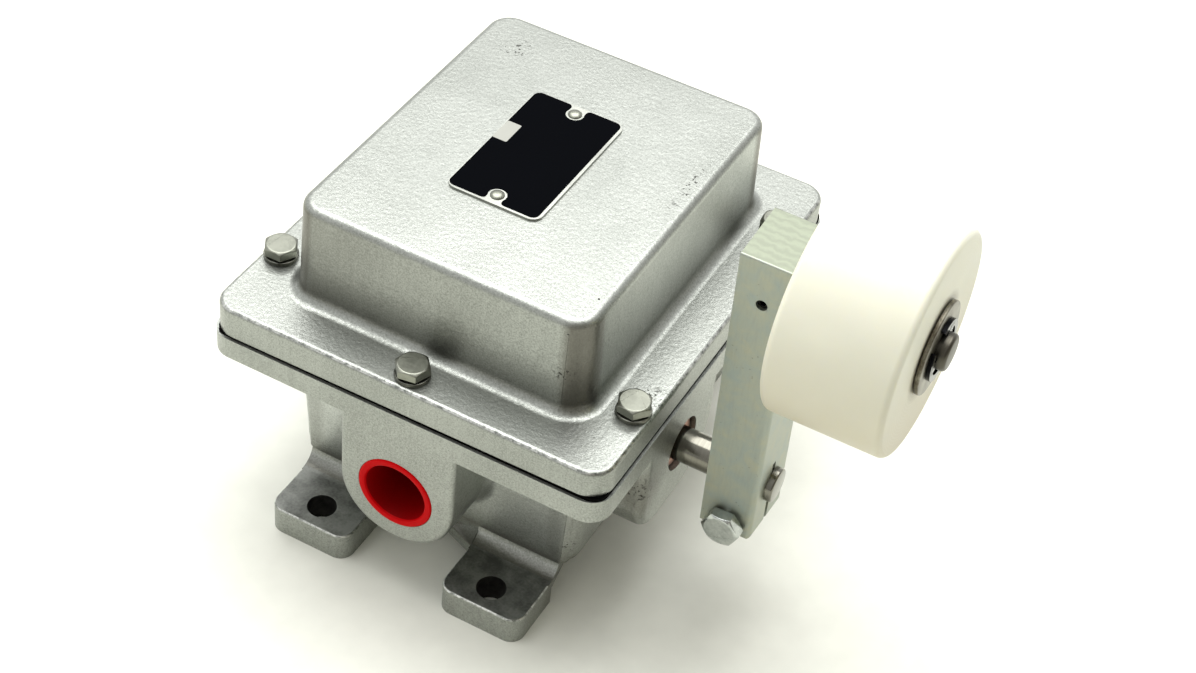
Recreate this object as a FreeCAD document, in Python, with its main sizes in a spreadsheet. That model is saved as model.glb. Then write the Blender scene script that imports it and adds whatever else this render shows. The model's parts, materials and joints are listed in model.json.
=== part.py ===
"""Position switch with a cast two-piece housing, a rocking shaft and a roller lever.

Units are millimetres.  The origin is on the mounting plane, at the centre of the four foot
holes.  +Z is up, +X runs along the shaft towards the lever, and the conduit hub is on -Y.
"""
import FreeCAD
import Part
import Sketcher

import math
import os
import re

from FreeCAD import Placement, Rotation, Vector

SIZES = [
    # Outline of the two bolted flanges and the joint between them
    ("flange_width_x", 19.2, "width of the cover flange beside the raised box"),
    ("flange_width_y", 18.8, "width of the cover flange at the ends of the raised box"),
    ("flange_corner", 9.0, "corner radius of the cover flange"),
    ("flange_edge_round", 1.8, "rounding along the top of the cover flange"),
    ("base_corner", 8.5, "corner radius of the base flange"),
    ("base_edge_round", 1.0, "rounding along the edges of the base flange"),
    ("base_lip", 0.8, "how far the base flange stands out past the cover flange"),
    ("base_flange_top", 84.8, "height of the joint face on the base"),
    ("base_flange_thickness", 9.5, "thickness of the base flange"),
    ("gasket_thickness", 1.5, "thickness of the gasket"),
    ("gasket_inset", 0.25, "how far the gasket lies inside the cover flange"),
    ("gasket_corner", 5.5, "corner radius of the gasket"),
    ("cover_flange_thickness", 10.5, "thickness of the cover flange"),
    # Raised box of the cover
    ("box_half_x", 57.0, "half width of the raised box at the flange"),
    ("box_half_y", 69.8, "half length of the raised box at the flange"),
    ("box_rise", 39.0, "height of the raised box above its flange"),
    ("box_draft", 2.0, "draft of the raised box, degrees"),
    ("box_corner", 10.5, "upright corner radius of the raised box"),
    ("box_top_round", 3.2, "rounding along the top edge of the raised box"),
    ("box_root_round", 4.5, "fillet where the raised box meets its flange"),
    ("cover_wall", 5.0, "wall of the cover"),
    # Body of the base
    ("body_over_x", 2.4, "base body wider than the raised box, each side"),
    ("body_under_y", 4.8, "base body shorter than the raised box, each end"),
    ("body_corner", 10.0, "upright corner radius of the base body"),
    ("body_draft", 2.8, "draft of the base body, degrees"),
    ("body_bottom", 13.5, "height of the underside of the base body"),
    ("body_bottom_round", 8.0, "rounding along the underside of the base body"),
    ("body_wall", 6.0, "wall of the base body"),
    ("body_floor", 6.0, "floor of the base body"),
    # Feet
    ("foot_set_in", 7.4, "outer side of a foot in from the side of the base body"),
    ("foot_width", 32.9, "width of a foot"),
    ("foot_reach", 28.42, "end of a foot from the wall"),
    ("foot_thickness", 11.5, "thickness of a foot"),
    ("foot_corner", 5.5, "corner radius of a foot"),
    ("foot_root_round", 7.0, "fillet between a foot and the wall"),
    ("foot_edge_round", 0.8, "rounding along the top of a foot"),
    ("foot_start_gap", 3.6, "inner end of a foot from the wall"),
    ("foot_neck_low", 8.0, "underside of the neck between a foot and the wall"),
    ("foot_neck_in", 5.0, "how far the neck of a foot runs into the wall"),
    ("foot_hole_in", 16.5, "foot hole from the outer side of its foot"),
    ("foot_hole_out", 18.72, "foot hole from the wall"),
    ("foot_hole_radius", 5.4, "radius of a foot hole"),
    # Conduit hub and its plug
    ("hub_half_width", 22.5, "half width of the conduit hub"),
    ("hub_corner", 22.0, "radius under the conduit hub"),
    ("hub_edge_round", 2.0, "rounding of the conduit hub"),
    ("hub_height", 47.3, "height of the conduit axis"),
    ("hub_bore_radius", 14.8, "radius of the conduit bore"),
    ("plug_clearance", 0.1, "gap round the plug"),
    ("plug_rim", 2.8, "wall of the plug at its mouth"),
    ("plug_depth", 26.0, "length of the plug"),
    ("plug_end", 2.0, "end wall of the plug"),
    ("plug_proud", 0.5, "how far the plug stands out of the hub"),
    # Shaft, its boss and its bearings
    ("shaft_y", -25.5, "shaft axis, along"),
    ("shaft_z", 60.6, "shaft axis, height"),
    ("shaft_radius", 6.35, "radius of the shaft"),
    ("shaft_end_proud", 2.8, "how far the shaft stands out of the lever"),
    ("shaft_chamfer", 0.5, "chamfer on the shaft ends"),
    ("running_clearance", 0.05, "radial clearance of a running fit"),
    ("boss_radius", 25.5, "radius of the bearing boss"),
    ("boss_left", 28.0, "side of the bearing boss towards the hub, from the shaft axis"),
    ("boss_corner", 14.0, "corner radius of the bearing boss towards the hub side"),
    ("boss_edge_round", 3.5, "rounding of the bearing boss"),
    ("bush_wall", 3.175, "wall of a bush"),
    ("bush_length", 22.7, "length of a bush"),
    ("bush_recess", 1.9, "how far the outer bush lies inside the boss face"),
    ("boss_counterbore_gap", 0.9, "gap round the mouth of the outer bush"),
    ("boss_counterbore_depth", 4.0, "depth of the gap round the bush"),
    ("seal_width", 5.0, "width of the shaft seal"),
    ("seal_wall", 5.0, "radial height of the shaft seal"),
    ("seat_clearance", 0.02, "radial gap of a pressed piece in its seat"),
    ("blind_boss_radius", 15.0, "radius of the boss that holds the inner bush"),
    ("blind_boss_length", 13.0, "length of the boss that holds the inner bush"),
    ("blind_bush_gap", 4.0, "space behind the inner bush"),
    ("blind_end_gap", 2.0, "gap behind the inner end of the shaft"),
    ("ring_thickness", 1.2, "thickness of a shaft retaining ring"),
    ("ring_height", 2.6, "how far a retaining ring stands out of the shaft"),
    ("groove_depth", 0.7, "depth of a retaining ring groove"),
    ("end_play", 0.4, "axial clearance beside a turning piece"),
    # Lever
    ("lever_gap", 15.2, "gap between the boss and the lever"),
    ("lever_thickness", 19.05, "thickness of the lever along the shaft"),
    ("lever_width", 25.4, "width of the lever"),
    ("lever_above", 108.7, "lever length above the shaft axis"),
    ("lever_below", 18.3, "lever length below the shaft axis"),
    ("lever_edge_round", 0.8, "rounding of the lever edges"),
    ("lever_tilt", 2.75, "lean of the lever towards the hub side, degrees"),
    ("clamp_slot", 2.4, "width of the clamp slot"),
    ("clamp_slot_above", 10.5, "end of the clamp slot above the shaft axis"),
    ("clamp_bolt_drop", 13.7, "clamp bolt below the shaft axis"),
    ("clamp_flats", 12.3, "width across the flats of the clamp bolt head"),
    ("clamp_head", 4.8, "height of the clamp bolt head"),
    ("clamp_bolt_length", 22.2, "length of the clamp bolt under its head"),
    ("axle_up", 91.1, "roller axle above the shaft axis"),
    # Roller and axle
    ("axle_radius", 6.35, "radius of the roller axle"),
    ("axle_end", 4.3, "axle beyond its outer washer"),
    ("axle_shoulder", 1.2, "axle end short of the inner face of the lever"),
    ("axle_washer_radius", 15.9, "radius of the axle washers"),
    ("axle_washer_thickness", 1.6, "thickness of the axle washers"),
    ("clip_radius", 10.6, "outer radius of the axle clip"),
    ("clip_thickness", 1.5, "thickness of the axle clip"),
    ("clip_mouth", 7.0, "opening of the axle clip"),
    ("clip_turn", 38.0, "angle of the opening of the axle clip from the line of the lever"),
    ("roller_radius", 38.4, "radius of the roller"),
    ("roller_length", 41.3, "length of the roller"),
    ("roller_edge_round", 2.4, "rounding of the roller rims"),
    ("set_screw_radius", 2.0, "radius of the axle set screw"),
    ("set_screw_socket", 1.05, "half width across flats of a set screw socket"),
    ("set_screw_sunk", 1.2, "how far the axle set screw lies below its face"),
    # Cover bolts and washers
    ("bolt_edge_x", 6.8, "corner bolts in from the side of the cover flange"),
    ("bolt_edge_y", 7.6, "middle bolts in from the end of the cover flange"),
    ("bolt_corner_y", 33.1, "corner bolts in from the end of the cover flange"),
    ("bolt_radius", 3.175, "radius of a quarter inch bolt"),
    ("bolt_flats", 11.11, "width across the flats of a bolt head"),
    ("bolt_head", 4.2, "height of a bolt head"),
    ("bolt_length", 22.2, "length of a cover bolt under its head"),
    ("bolt_clearance", 0.3, "radial clearance of a cover hole"),
    ("thread_clearance", 0.05, "radial gap of a screw in its own thread"),
    ("washer_radius", 6.2, "outer radius of a lock washer"),
    ("washer_thickness", 1.6, "thickness of a lock washer"),
    ("washer_split", 0.6, "split of a lock washer"),
    # Name plate
    ("plate_x", -1.6, "name plate centre, across"),
    ("plate_y", -0.4, "name plate centre, along"),
    ("plate_half_x", 18.0, "half width of the name plate"),
    ("plate_half_y", 31.6, "half length of the name plate"),
    ("plate_corner", 4.0, "corner radius of the name plate"),
    ("plate_thickness", 0.8, "thickness of the name plate"),
    ("rivet_spacing", 26.9, "half the distance between the plate rivets"),
    ("rivet_radius", 1.2, "radius of a rivet shank"),
    ("rivet_head_radius", 2.4, "radius of a rivet head"),
    ("rivet_head", 1.1, "height of a rivet head"),
    ("rivet_length", 3.6, "length of a rivet shank"),
    # Switches, their bracket and the cams that work them
    ("switch_first_x", 2.5, "first switch, side that lies on its bracket"),
    ("switch_thickness", 17.4, "thickness of a snap switch"),
    ("switch_depth", 24.2, "depth of a snap switch"),
    ("switch_height", 49.2, "height of a snap switch"),
    ("switch_gap", 0.6, "gap between the two switches"),
    ("switch_drop", 7.0, "switch centre below its plunger"),
    ("switch_hole_spacing", 25.4, "distance between the switch holes"),
    ("switch_hole_depth", 10.0, "switch holes behind the plunger face"),
    ("plunger_radius", 3.0, "radius of a switch plunger"),
    ("plunger_free", 4.0, "free height of a switch plunger"),
    ("plunger_travel", 1.2, "travel of a switch plunger"),
    ("plunger_inside", 6.0, "plunger length inside its switch"),
    ("cam_radius", 16.0, "outer radius of a cam"),
    ("cam_flat", 14.4, "cam axis to its flat"),
    ("cam_width", 8.0, "width of a cam"),
    ("cam_gap", 0.3, "gap between a turning cam and a free plunger"),
    ("cam_screw_radius", 2.0, "radius of a cam or collar set screw"),
    ("bracket_thickness", 2.5, "sheet thickness of the switch bracket"),
    ("bracket_foot", 20.0, "foot of the switch bracket"),
    ("post_radius", 6.0, "radius of a bracket post"),
    ("post_height", 6.0, "height of a bracket post above the floor"),
    ("small_screw_radius", 2.0, "radius of the small screws"),
    ("small_screw_head_radius", 3.6, "head radius of the small screws"),
    ("small_screw_head", 2.4, "head height of the small screws"),
    ("small_screw_grip", 5.0, "length of a small screw in its thread"),
    ("terminal_pitch", 15.0, "distance between terminal screws"),
    ("ground_in_x", 18.4, "ground screw in from the side wall"),
    ("ground_in_y", 24.0, "ground screw in from the end wall"),
    # Return spring and its collar
    ("collar_x", -14.0, "collar face towards the switches"),
    ("collar_length", 8.0, "length of the spring collar"),
    ("collar_radius", 13.0, "radius of the spring collar"),
    ("collar_reach", 20.5, "end of the collar tab below the shaft axis"),
    ("drive_bar", 4.8, "height of the bar that drives the spring legs"),
    ("drive_bar_over", 2.5, "how far the drive bar passes the spring"),
    ("spring_wire", 1.3, "radius of the spring wire"),
    ("spring_coil", 9.8, "mean radius of the spring"),
    ("spring_pitch", 3.0, "distance between spring turns"),
    ("spring_turns", 3.0, "turns of the spring"),
    ("spring_leg", 30.0, "length of a spring leg below the shaft axis"),
    ("spring_gap", 0.8, "gap between the spring and the collar"),
    ("spring_post_half", 8.2, "half width of the post between the spring legs"),
    ("spring_post_gap", 2.6, "gap between that post and the drive bar"),
]

doc = FreeCAD.newDocument("position_switch")
sheet = doc.addObject("Spreadsheet::Sheet", "sizes")
for row, (alias, value, meaning) in enumerate(SIZES, start=1):
    sheet.set(f"A{row}", meaning)
    sheet.set(f"B{row}", str(value))
    sheet.setAlias(f"B{row}", alias)
doc.recompute()

ALIASES = {alias for alias, value, meaning in SIZES}
DEFINED = {}
NODES = []


def define(name, expression):
    """Name an expression of the sheet's cells that several pieces share."""
    DEFINED[name] = "(" + expand(expression) + ")"


def expand(expression):
    """Write the shared expressions out in cells of the sheet."""
    return re.sub(r"[a-z]\w*", lambda word: DEFINED.get(word.group(), word.group()), expression)


def num(expression):
    """The value of an expression of the sheet's cells."""
    return float(sheet.evalExpression(expand(expression)))


def ref(expression):
    """The same expression as another object of the document writes it."""
    def cell(word):
        return "sizes." + word.group() if word.group() in ALIASES else word.group()
    return re.sub(r"[a-z]\w*", cell, expand(expression))


def node(thing, label):
    """Mark an object as a finished sub-part."""
    thing.Label = label
    NODES.append(thing)
    return thing


def place(thing, x="0", y="0", z="0", rotation=Rotation()):
    """Put an object at a point that follows the sheet."""
    thing.Placement = Placement(Vector(num(x), num(y), num(z)), rotation)
    for axis, expression in zip("xyz", (x, y, z)):
        thing.setExpression("Placement.Base." + axis, ref(expression))
    return thing


def new_body(name):
    return doc.addObject("PartDesign::Body", name)


def new_sketch(body, role, offset="0"):
    """A sketch on one of the body's own origin planes, moved along its normal."""
    sketch = body.newObject("Sketcher::SketchObject", body.Name + "_sketch")
    plane = [item for item in body.Origin.OriginFeatures if item.Role == role][0]
    sketch.AttachmentSupport = (plane, [""])
    sketch.MapMode = "FlatFace"
    sketch.AttachmentOffset = Placement(Vector(0, 0, num(offset)), Rotation())
    sketch.setExpression("AttachmentOffset.Base.z", ref(offset))
    return sketch


def bind(sketch, kind, geometry, expression):
    """Add one dimension to a sketch and tie it to the sheet."""
    index = sketch.addConstraint(Sketcher.Constraint(kind, *geometry, num(expression)))
    sketch.setExpression(f"Constraints[{index}]", ref(expression))


def pin_point(sketch, geometry, x, y):
    """Fix a sketch point at two expressions from the sketch's origin."""
    bind(sketch, "DistanceX", (-1, 1) + geometry, x)
    bind(sketch, "DistanceY", (-1, 1) + geometry, y)


def circle(sketch, x, y, radius):
    index = sketch.addGeometry(Part.Circle(Vector(num(x), num(y), 0), Vector(0, 0, 1), num(radius)))
    bind(sketch, "Radius", (index,), radius)
    pin_point(sketch, (index, 3), x, y)


def polygon(sketch, points):
    """A closed outline of straight lines through points given as expressions."""
    corners = [Vector(num(x), num(y), 0) for x, y in points]
    first = sketch.GeometryCount
    for start, end in zip(corners, corners[1:] + corners[:1]):
        sketch.addGeometry(Part.LineSegment(start, end))
    count = len(points)
    for step, (x, y) in enumerate(points):
        before = first + (step - 1) % count
        sketch.addConstraint(Sketcher.Constraint("Coincident", before, 2, first + step, 1))
        pin_point(sketch, (first + step, 1), x, y)


def rounded(sketch, left, right, low, high, radii):
    """A rectangle with rounded corners; radii run from low left anticlockwise."""
    radii = [radii] * 4 if isinstance(radii, str) else radii
    radii = [f"({radius})" for radius in radii]
    centres = [
        (f"{left}+{radii[0]}", f"{low}+{radii[0]}", 180),
        (f"{right}-{radii[1]}", f"{low}+{radii[1]}", 270),
        (f"{right}-{radii[2]}", f"{high}-{radii[2]}", 0),
        (f"{left}+{radii[3]}", f"{high}-{radii[3]}", 90),
    ]
    arcs = []
    for (x, y, start), radius in zip(centres, radii):
        turn = Part.Circle(Vector(num(x), num(y), 0), Vector(0, 0, 1), num(radius))
        begin = math.radians(start)
        arc = Part.ArcOfCircle(turn, begin, begin + math.pi / 2)
        arcs.append(sketch.addGeometry(arc))
        bind(sketch, "Radius", (arcs[-1],), radius)
        pin_point(sketch, (arcs[-1], 3), x, y)
    for arc, following in zip(arcs, arcs[1:] + arcs[:1]):
        start = sketch.Geometry[arc].EndPoint
        end = sketch.Geometry[following].StartPoint
        line = sketch.addGeometry(Part.LineSegment(start, end))
        sketch.addConstraint(Sketcher.Constraint("Tangent", arc, 2, line, 1))
        sketch.addConstraint(Sketcher.Constraint("Tangent", line, 2, following, 1))


def feature(body, kind, sketch, **settings):
    """A sketch-based feature; text settings are bound to the sheet."""
    made = body.newObject("PartDesign::" + kind, body.Name + "_" + kind.lower())
    made.Profile = sketch
    for name, value in settings.items():
        if isinstance(value, str) and name != "Type":
            made.setExpression(name, ref(value))
        else:
            setattr(made, name, value)
    body.Tip = made
    doc.recompute()
    return made


def round_edges(body, radius, chosen):
    """Round the edges of the body's last feature that a test picks."""
    base = body.Tip
    names = [f"Edge{i}" for i, edge in enumerate(base.Shape.Edges, start=1) if chosen(edge)]
    made = body.newObject("PartDesign::Fillet", body.Name + "_fillet")
    made.Base = (base, names)
    made.setExpression("Radius", ref(radius))
    body.Tip = made
    doc.recompute()
    return made


def near(value, target, tolerance=0.02):
    return abs(value - target) < tolerance


def level(edge, height):
    """Whether an edge lies all along one height."""
    box = edge.BoundBox
    return near(box.ZMin, height) and near(box.ZMax, height)


def flat_on(edge, axis, value):
    """Whether an edge lies all along one plane across an axis."""
    box = edge.BoundBox
    return near(getattr(box, axis + "Min"), value) and near(getattr(box, axis + "Max"), value)


def turned(name, axis, points):
    """A body turned about an axis from points (along the axis, radius)."""
    body = new_body(name)
    role = "XZ_Plane" if axis == "z" else "XY_Plane"
    sketch = new_sketch(body, role)
    polygon(sketch, points if axis == "x" else [(radius, along) for along, radius in points])
    line = "H_Axis" if axis == "x" else "V_Axis"
    feature(body, "Revolution", sketch, ReferenceAxis=(sketch, [line]), Angle=360.0)
    return body


def tube(name, axis, start, end, outer, inner):
    """A turned ring of rectangular section."""
    return turned(name, axis, [(start, inner), (end, inner), (end, outer), (start, outer)])


AXIS_TURN = {
    "x": Rotation(Vector(0, 1, 0), 90),
    "y": Rotation(Vector(1, 0, 0), -90),
    "z": Rotation(),
}


def cylinder(name, axis, at, radius, length):
    made = doc.addObject("Part::Cylinder", name)
    made.setExpression("Radius", ref(radius))
    made.setExpression("Height", ref(length))
    return place(made, *at, rotation=AXIS_TURN[axis])


def block(name, low, size):
    made = doc.addObject("Part::Box", name)
    for side, expression in zip(("Length", "Width", "Height"), size):
        made.setExpression(side, ref(expression))
    return place(made, *low)


def prism(name, axis, at, flats, length):
    """A hexagonal bar given by its width across the flats."""
    made = doc.addObject("Part::Prism", name)
    made.Polygon = 6
    made.setExpression("Circumradius", ref(f"({flats})/sqrt(3)"))
    made.setExpression("Height", ref(length))
    return place(made, *at, rotation=AXIS_TURN[axis])


def fuse(name, *shapes):
    made = doc.addObject("Part::MultiFuse", name)
    made.Shapes = list(shapes)
    doc.recompute()
    return made


def cut(name, base, *tools):
    """One solid less others."""
    for step, tool in enumerate(tools):
        made = doc.addObject("Part::Cut", f"{name}_{step}")
        made.Base = base
        made.Tool = tool
        base = made
    doc.recompute()
    return base


def copies(name, thing, places):
    """Copies of one piece at several places, kept as separate solids."""
    links = []
    for step, where in enumerate(places):
        made = doc.addObject("App::Link", f"{name}_{step}")
        made.LinkedObject = thing
        made.LinkTransform = False
        links.append(place(made, *where))
    group = doc.addObject("Part::Compound", name)
    group.Links = links
    doc.recompute()
    return group


# Heights and places that several pieces share
define("base_flange_bottom", "base_flange_top-base_flange_thickness")
define("gasket_top", "base_flange_top+gasket_thickness")
define("cover_flange_top", "gasket_top+cover_flange_thickness")
define("cover_top", "cover_flange_top+box_rise")
define("flange_half_x", "box_half_x+flange_width_x")
define("flange_half_y", "box_half_y+flange_width_y")
define("base_half_x", "flange_half_x+base_lip")
define("base_half_y", "flange_half_y+base_lip")
define("body_half_x", "box_half_x+body_over_x")
define("body_half_y", "box_half_y-body_under_y")
define("bolt_x", "flange_half_x-bolt_edge_x")
define("bolt_y", "flange_half_y-bolt_corner_y")
define("bolt_mid_y", "flange_half_y-bolt_edge_y")
define("floor_top", "body_bottom+body_floor")
define("wall_depth", "base_flange_bottom-body_bottom")
define("foot_wall_y", "body_half_y-(base_flange_bottom-foot_thickness)*tan(body_draft*1deg)")
define("foot_outer_x", "body_half_x-foot_set_in")
define("foot_inner_x", "foot_outer_x-foot_width")
define("foot_start_y", "foot_wall_y+foot_start_gap")
define("foot_end_y", "foot_wall_y+foot_reach")
define("foot_hole_x", "foot_outer_x-foot_hole_in")
define("foot_hole_y", "foot_wall_y+foot_hole_out")
define("inner_half_x", "body_half_x-body_wall")
define("inner_half_y", "body_half_y-body_wall")
define("bush_radius", "shaft_radius+bush_wall")
define("bush_bore", "shaft_radius+running_clearance")
define("bush_outer_x", "base_half_x-bush_recess")
define("bush_inner_x", "bush_outer_x-bush_length")
define("seal_inner_x", "bush_inner_x-seal_width")
define("blind_mouth_x", "-inner_half_x+blind_boss_length")
define("shaft_start_x", "-inner_half_x+blind_end_gap")
define("ground_x", "ground_in_x-inner_half_x")
define("ground_y", "inner_half_y-ground_in_y")
define("lever_inner_x", "base_half_x+lever_gap")
define("lever_outer_x", "lever_inner_x+lever_thickness")
define("shaft_end_x", "lever_outer_x+shaft_end_proud")
define("lever_half", "lever_width/2")
define("roller_inner_x", "lever_outer_x+axle_washer_thickness+end_play")
define("roller_outer_x", "roller_inner_x+roller_length")
define("washer_outer_x", "roller_outer_x+end_play")
define("clip_x", "washer_outer_x+axle_washer_thickness")
define("axle_end_x", "clip_x+axle_end")
define("ring_x", "seal_inner_x-end_play-ring_thickness")
define("switch_face_y", "shaft_y+cam_radius+cam_gap+plunger_free")
define("switch_low_z", "shaft_z-switch_drop-switch_height/2")
define("switch_pitch", "switch_thickness+switch_gap")
define("bracket_x", "switch_first_x-bracket_thickness")
define("post_top", "floor_top+post_height")
define("bracket_mid_y", "switch_face_y+switch_depth/2")
define("bracket_end_x", "bracket_x+bracket_thickness-bracket_foot")
define("spring_start_x", "collar_x-collar_length-spring_gap-spring_wire")
define("spring_post_top", "shaft_z-collar_reach-spring_post_gap")
define("spring_end_x", "spring_start_x-spring_turns*spring_pitch")

BOLT_PLACES = [(x, y, "cover_flange_top")
               for x, y in (("bolt_x", "bolt_y"), ("-bolt_x", "bolt_y"), ("-bolt_x", "-bolt_y"),
                            ("bolt_x", "-bolt_y"), ("0", "bolt_mid_y"), ("0", "-bolt_mid_y"))]
FEET = [(x, y) for x in ("", "-") for y in ("", "-")]


def span(sign, low, high):
    """Two limits in rising order on either side of the middle."""
    return (low, high) if sign == "" else (f"-({high})", f"-({low})")


def base_casting():
    """The lower half: a drafted tub with a bolting flange, four feet, a hub and a boss."""
    body = new_body("base_casting")

    walls = new_sketch(body, "XY_Plane", "base_flange_bottom")
    rounded(walls, "-body_half_x", "body_half_x", "-body_half_y", "body_half_y", "body_corner")
    feature(body, "Pad", walls, Length="wall_depth", TaperAngle="-body_draft", Reversed=True)
    low = num("body_bottom")
    round_edges(body, "body_bottom_round", lambda edge: level(edge, low))

    hub = new_sketch(body, "XZ_Plane", "base_half_y")
    rounded(hub, "-hub_half_width", "hub_half_width", "hub_height-hub_half_width",
            "base_flange_top-base_edge_round",
            ["hub_corner", "hub_corner", "base_edge_round", "base_edge_round"])
    feature(body, "Pad", hub, Length="base_half_y-inner_half_y", Reversed=True)
    hub_face = -num("base_half_y")
    round_edges(body, "hub_edge_round", lambda edge: flat_on(edge, "Y", hub_face))

    boss = new_sketch(body, "YZ_Plane", "base_half_x")
    rounded(boss, "shaft_y-boss_left", "shaft_y+boss_radius", "shaft_z-boss_radius",
            "base_flange_top-base_edge_round",
            ["boss_corner", "boss_radius-base_edge_round", "base_edge_round", "base_edge_round"])
    feature(body, "Pad", boss, Length="base_half_x-inner_half_x", Reversed=True)
    boss_face = num("base_half_x")
    round_edges(body, "boss_edge_round", lambda edge: flat_on(edge, "X", boss_face))

    flange = new_sketch(body, "XY_Plane", "base_flange_bottom")
    rounded(flange, "-base_half_x", "base_half_x", "-base_half_y", "base_half_y", "base_corner")
    feature(body, "Pad", flange, Length="base_flange_thickness")

    feet = new_sketch(body, "XY_Plane")
    for across, along in FEET:
        ends = ["foot_corner", "foot_corner", "foot_edge_round", "foot_edge_round"]
        rounded(feet, *span(across, "foot_inner_x", "foot_outer_x"),
                *span(along, "foot_start_y", "foot_end_y"), ends if along else ends[::-1])
    feature(body, "Pad", feet, Length="foot_thickness")
    foot_top = num("foot_thickness")
    round_edges(body, "foot_edge_round", lambda edge: level(edge, foot_top))
    for across, along in FEET:
        foot_neck(body, across, along)

    cavity = new_sketch(body, "XY_Plane", "base_flange_top")
    rounded(cavity, "-inner_half_x", "inner_half_x", "-inner_half_y", "inner_half_y", "body_corner")
    feature(body, "Pocket", cavity, Length="base_flange_top-floor_top", TaperAngle="-body_draft")
    inner_bosses(body)
    base_holes(body)
    return node(body, "base_casting")


def foot_neck(body, across, along):
    """The neck of a foot, with a hollow fillet from its top up to the wall."""
    sketch = new_sketch(body, "YZ_Plane", f"{across}(foot_inner_x+foot_outer_x)/2")
    wall, toe = "foot_wall_y", "foot_wall_y+foot_root_round"
    top = "foot_thickness+foot_root_round"
    begin = math.radians(270 if along else 180)
    turn = Part.Circle(Vector(num(f"{along}({toe})"), num(top), 0), Vector(0, 0, 1),
                       num("foot_root_round"))
    arc = sketch.addGeometry(Part.ArcOfCircle(turn, begin, begin + math.pi / 2))
    bind(sketch, "Radius", (arc,), "foot_root_round")
    pin_point(sketch, (arc, 3), f"{along}({toe})", top)
    upper, lower = (2, 1) if along else (1, 2)
    bind(sketch, "DistanceY", (-1, 1, arc, upper), top)
    bind(sketch, "DistanceX", (-1, 1, arc, lower), f"{along}({toe})")
    inner = f"{wall}-foot_neck_in"
    corners = [(wall, top), (inner, top), (inner, "body_bottom+foot_edge_round"),
               ("foot_start_y", "foot_neck_low"), (toe, "foot_neck_low"), (toe, "foot_thickness")]
    points = [Vector(num(f"{along}({y})"), num(z), 0) for y, z in corners]
    lines = [sketch.addGeometry(Part.LineSegment(start, end))
             for start, end in zip(points, points[1:])]
    sketch.addConstraint(Sketcher.Constraint("Coincident", arc, upper, lines[0], 1))
    sketch.addConstraint(Sketcher.Constraint("Coincident", lines[-1], 2, arc, lower))
    for line, following, (y, z) in zip(lines, lines[1:], corners[1:]):
        sketch.addConstraint(Sketcher.Constraint("Coincident", line, 2, following, 1))
        pin_point(sketch, (line, 2), f"{along}({y})", z)
    feature(body, "Pad", sketch, Length="foot_outer_x-foot_inner_x", Midplane=True)


def inner_bosses(body):
    """Posts and bosses on the inside of the tub that carry the mechanism."""
    blind = new_sketch(body, "YZ_Plane", "blind_mouth_x")
    circle(blind, "shaft_y", "shaft_z", "blind_boss_radius")
    feature(body, "Pad", blind, Length="blind_boss_length+body_wall/2", Reversed=True)
    posts = new_sketch(body, "XY_Plane", "post_top")
    for x, y in POST_PLACES:
        circle(posts, x, y, "post_radius")
    feature(body, "Pad", posts, Length="post_height+body_floor/2", Reversed=True)
    stay = new_sketch(body, "XY_Plane", "floor_top-body_floor/2")
    polygon(stay, [("spring_end_x", "shaft_y-spring_post_half"),
                   ("spring_start_x", "shaft_y-spring_post_half"),
                   ("spring_start_x", "shaft_y+spring_post_half"),
                   ("spring_end_x", "shaft_y+spring_post_half")])
    feature(body, "Pad", stay, Length="spring_post_top-floor_top+body_floor/2")


def base_holes(body):
    """Bores for the conduit, the shaft and its bearings, and the screw holes."""
    conduit = new_sketch(body, "XZ_Plane", "base_half_y")
    circle(conduit, "0", "hub_height", "hub_bore_radius")
    feature(body, "Pocket", conduit, Length="base_half_y-inner_half_y+body_wall")

    def bore(start, radius, length):
        sketch = new_sketch(body, "YZ_Plane", start)
        circle(sketch, "shaft_y", "shaft_z", radius)
        feature(body, "Pocket", sketch, Length=length)

    bore("base_half_x", "bush_radius+boss_counterbore_gap", "boss_counterbore_depth")
    bore("base_half_x", "bush_radius+seat_clearance", "base_half_x-inner_half_x+body_wall")
    bore("bush_inner_x", "shaft_radius+seal_wall+seat_clearance", "body_wall+seal_width")
    bore("blind_mouth_x", "bush_radius+seat_clearance", "blind_boss_length")

    tapped = new_sketch(body, "XY_Plane", "base_flange_top")
    for x, y, height in BOLT_PLACES:
        circle(tapped, x, y, "bolt_radius+thread_clearance")
    feature(body, "Pocket", tapped, Length="base_flange_thickness")
    foot_holes = new_sketch(body, "XY_Plane", "foot_thickness")
    for across, along in FEET:
        circle(foot_holes, across + "foot_hole_x", along + "foot_hole_y", "foot_hole_radius")
    feature(body, "Pocket", foot_holes, Length="foot_thickness")
    small = new_sketch(body, "XY_Plane", "post_top")
    for x, y in POST_PLACES:
        circle(small, x, y, "small_screw_radius+thread_clearance")
    feature(body, "Pocket", small, Length="small_screw_grip+end_play")


BRACKET_SCREWS = [("(bracket_x+bracket_end_x)/2", f"bracket_mid_y{side}switch_depth/4")
                  for side in "+-"]
POST_PLACES = BRACKET_SCREWS + [("ground_x", "ground_y")]


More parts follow.
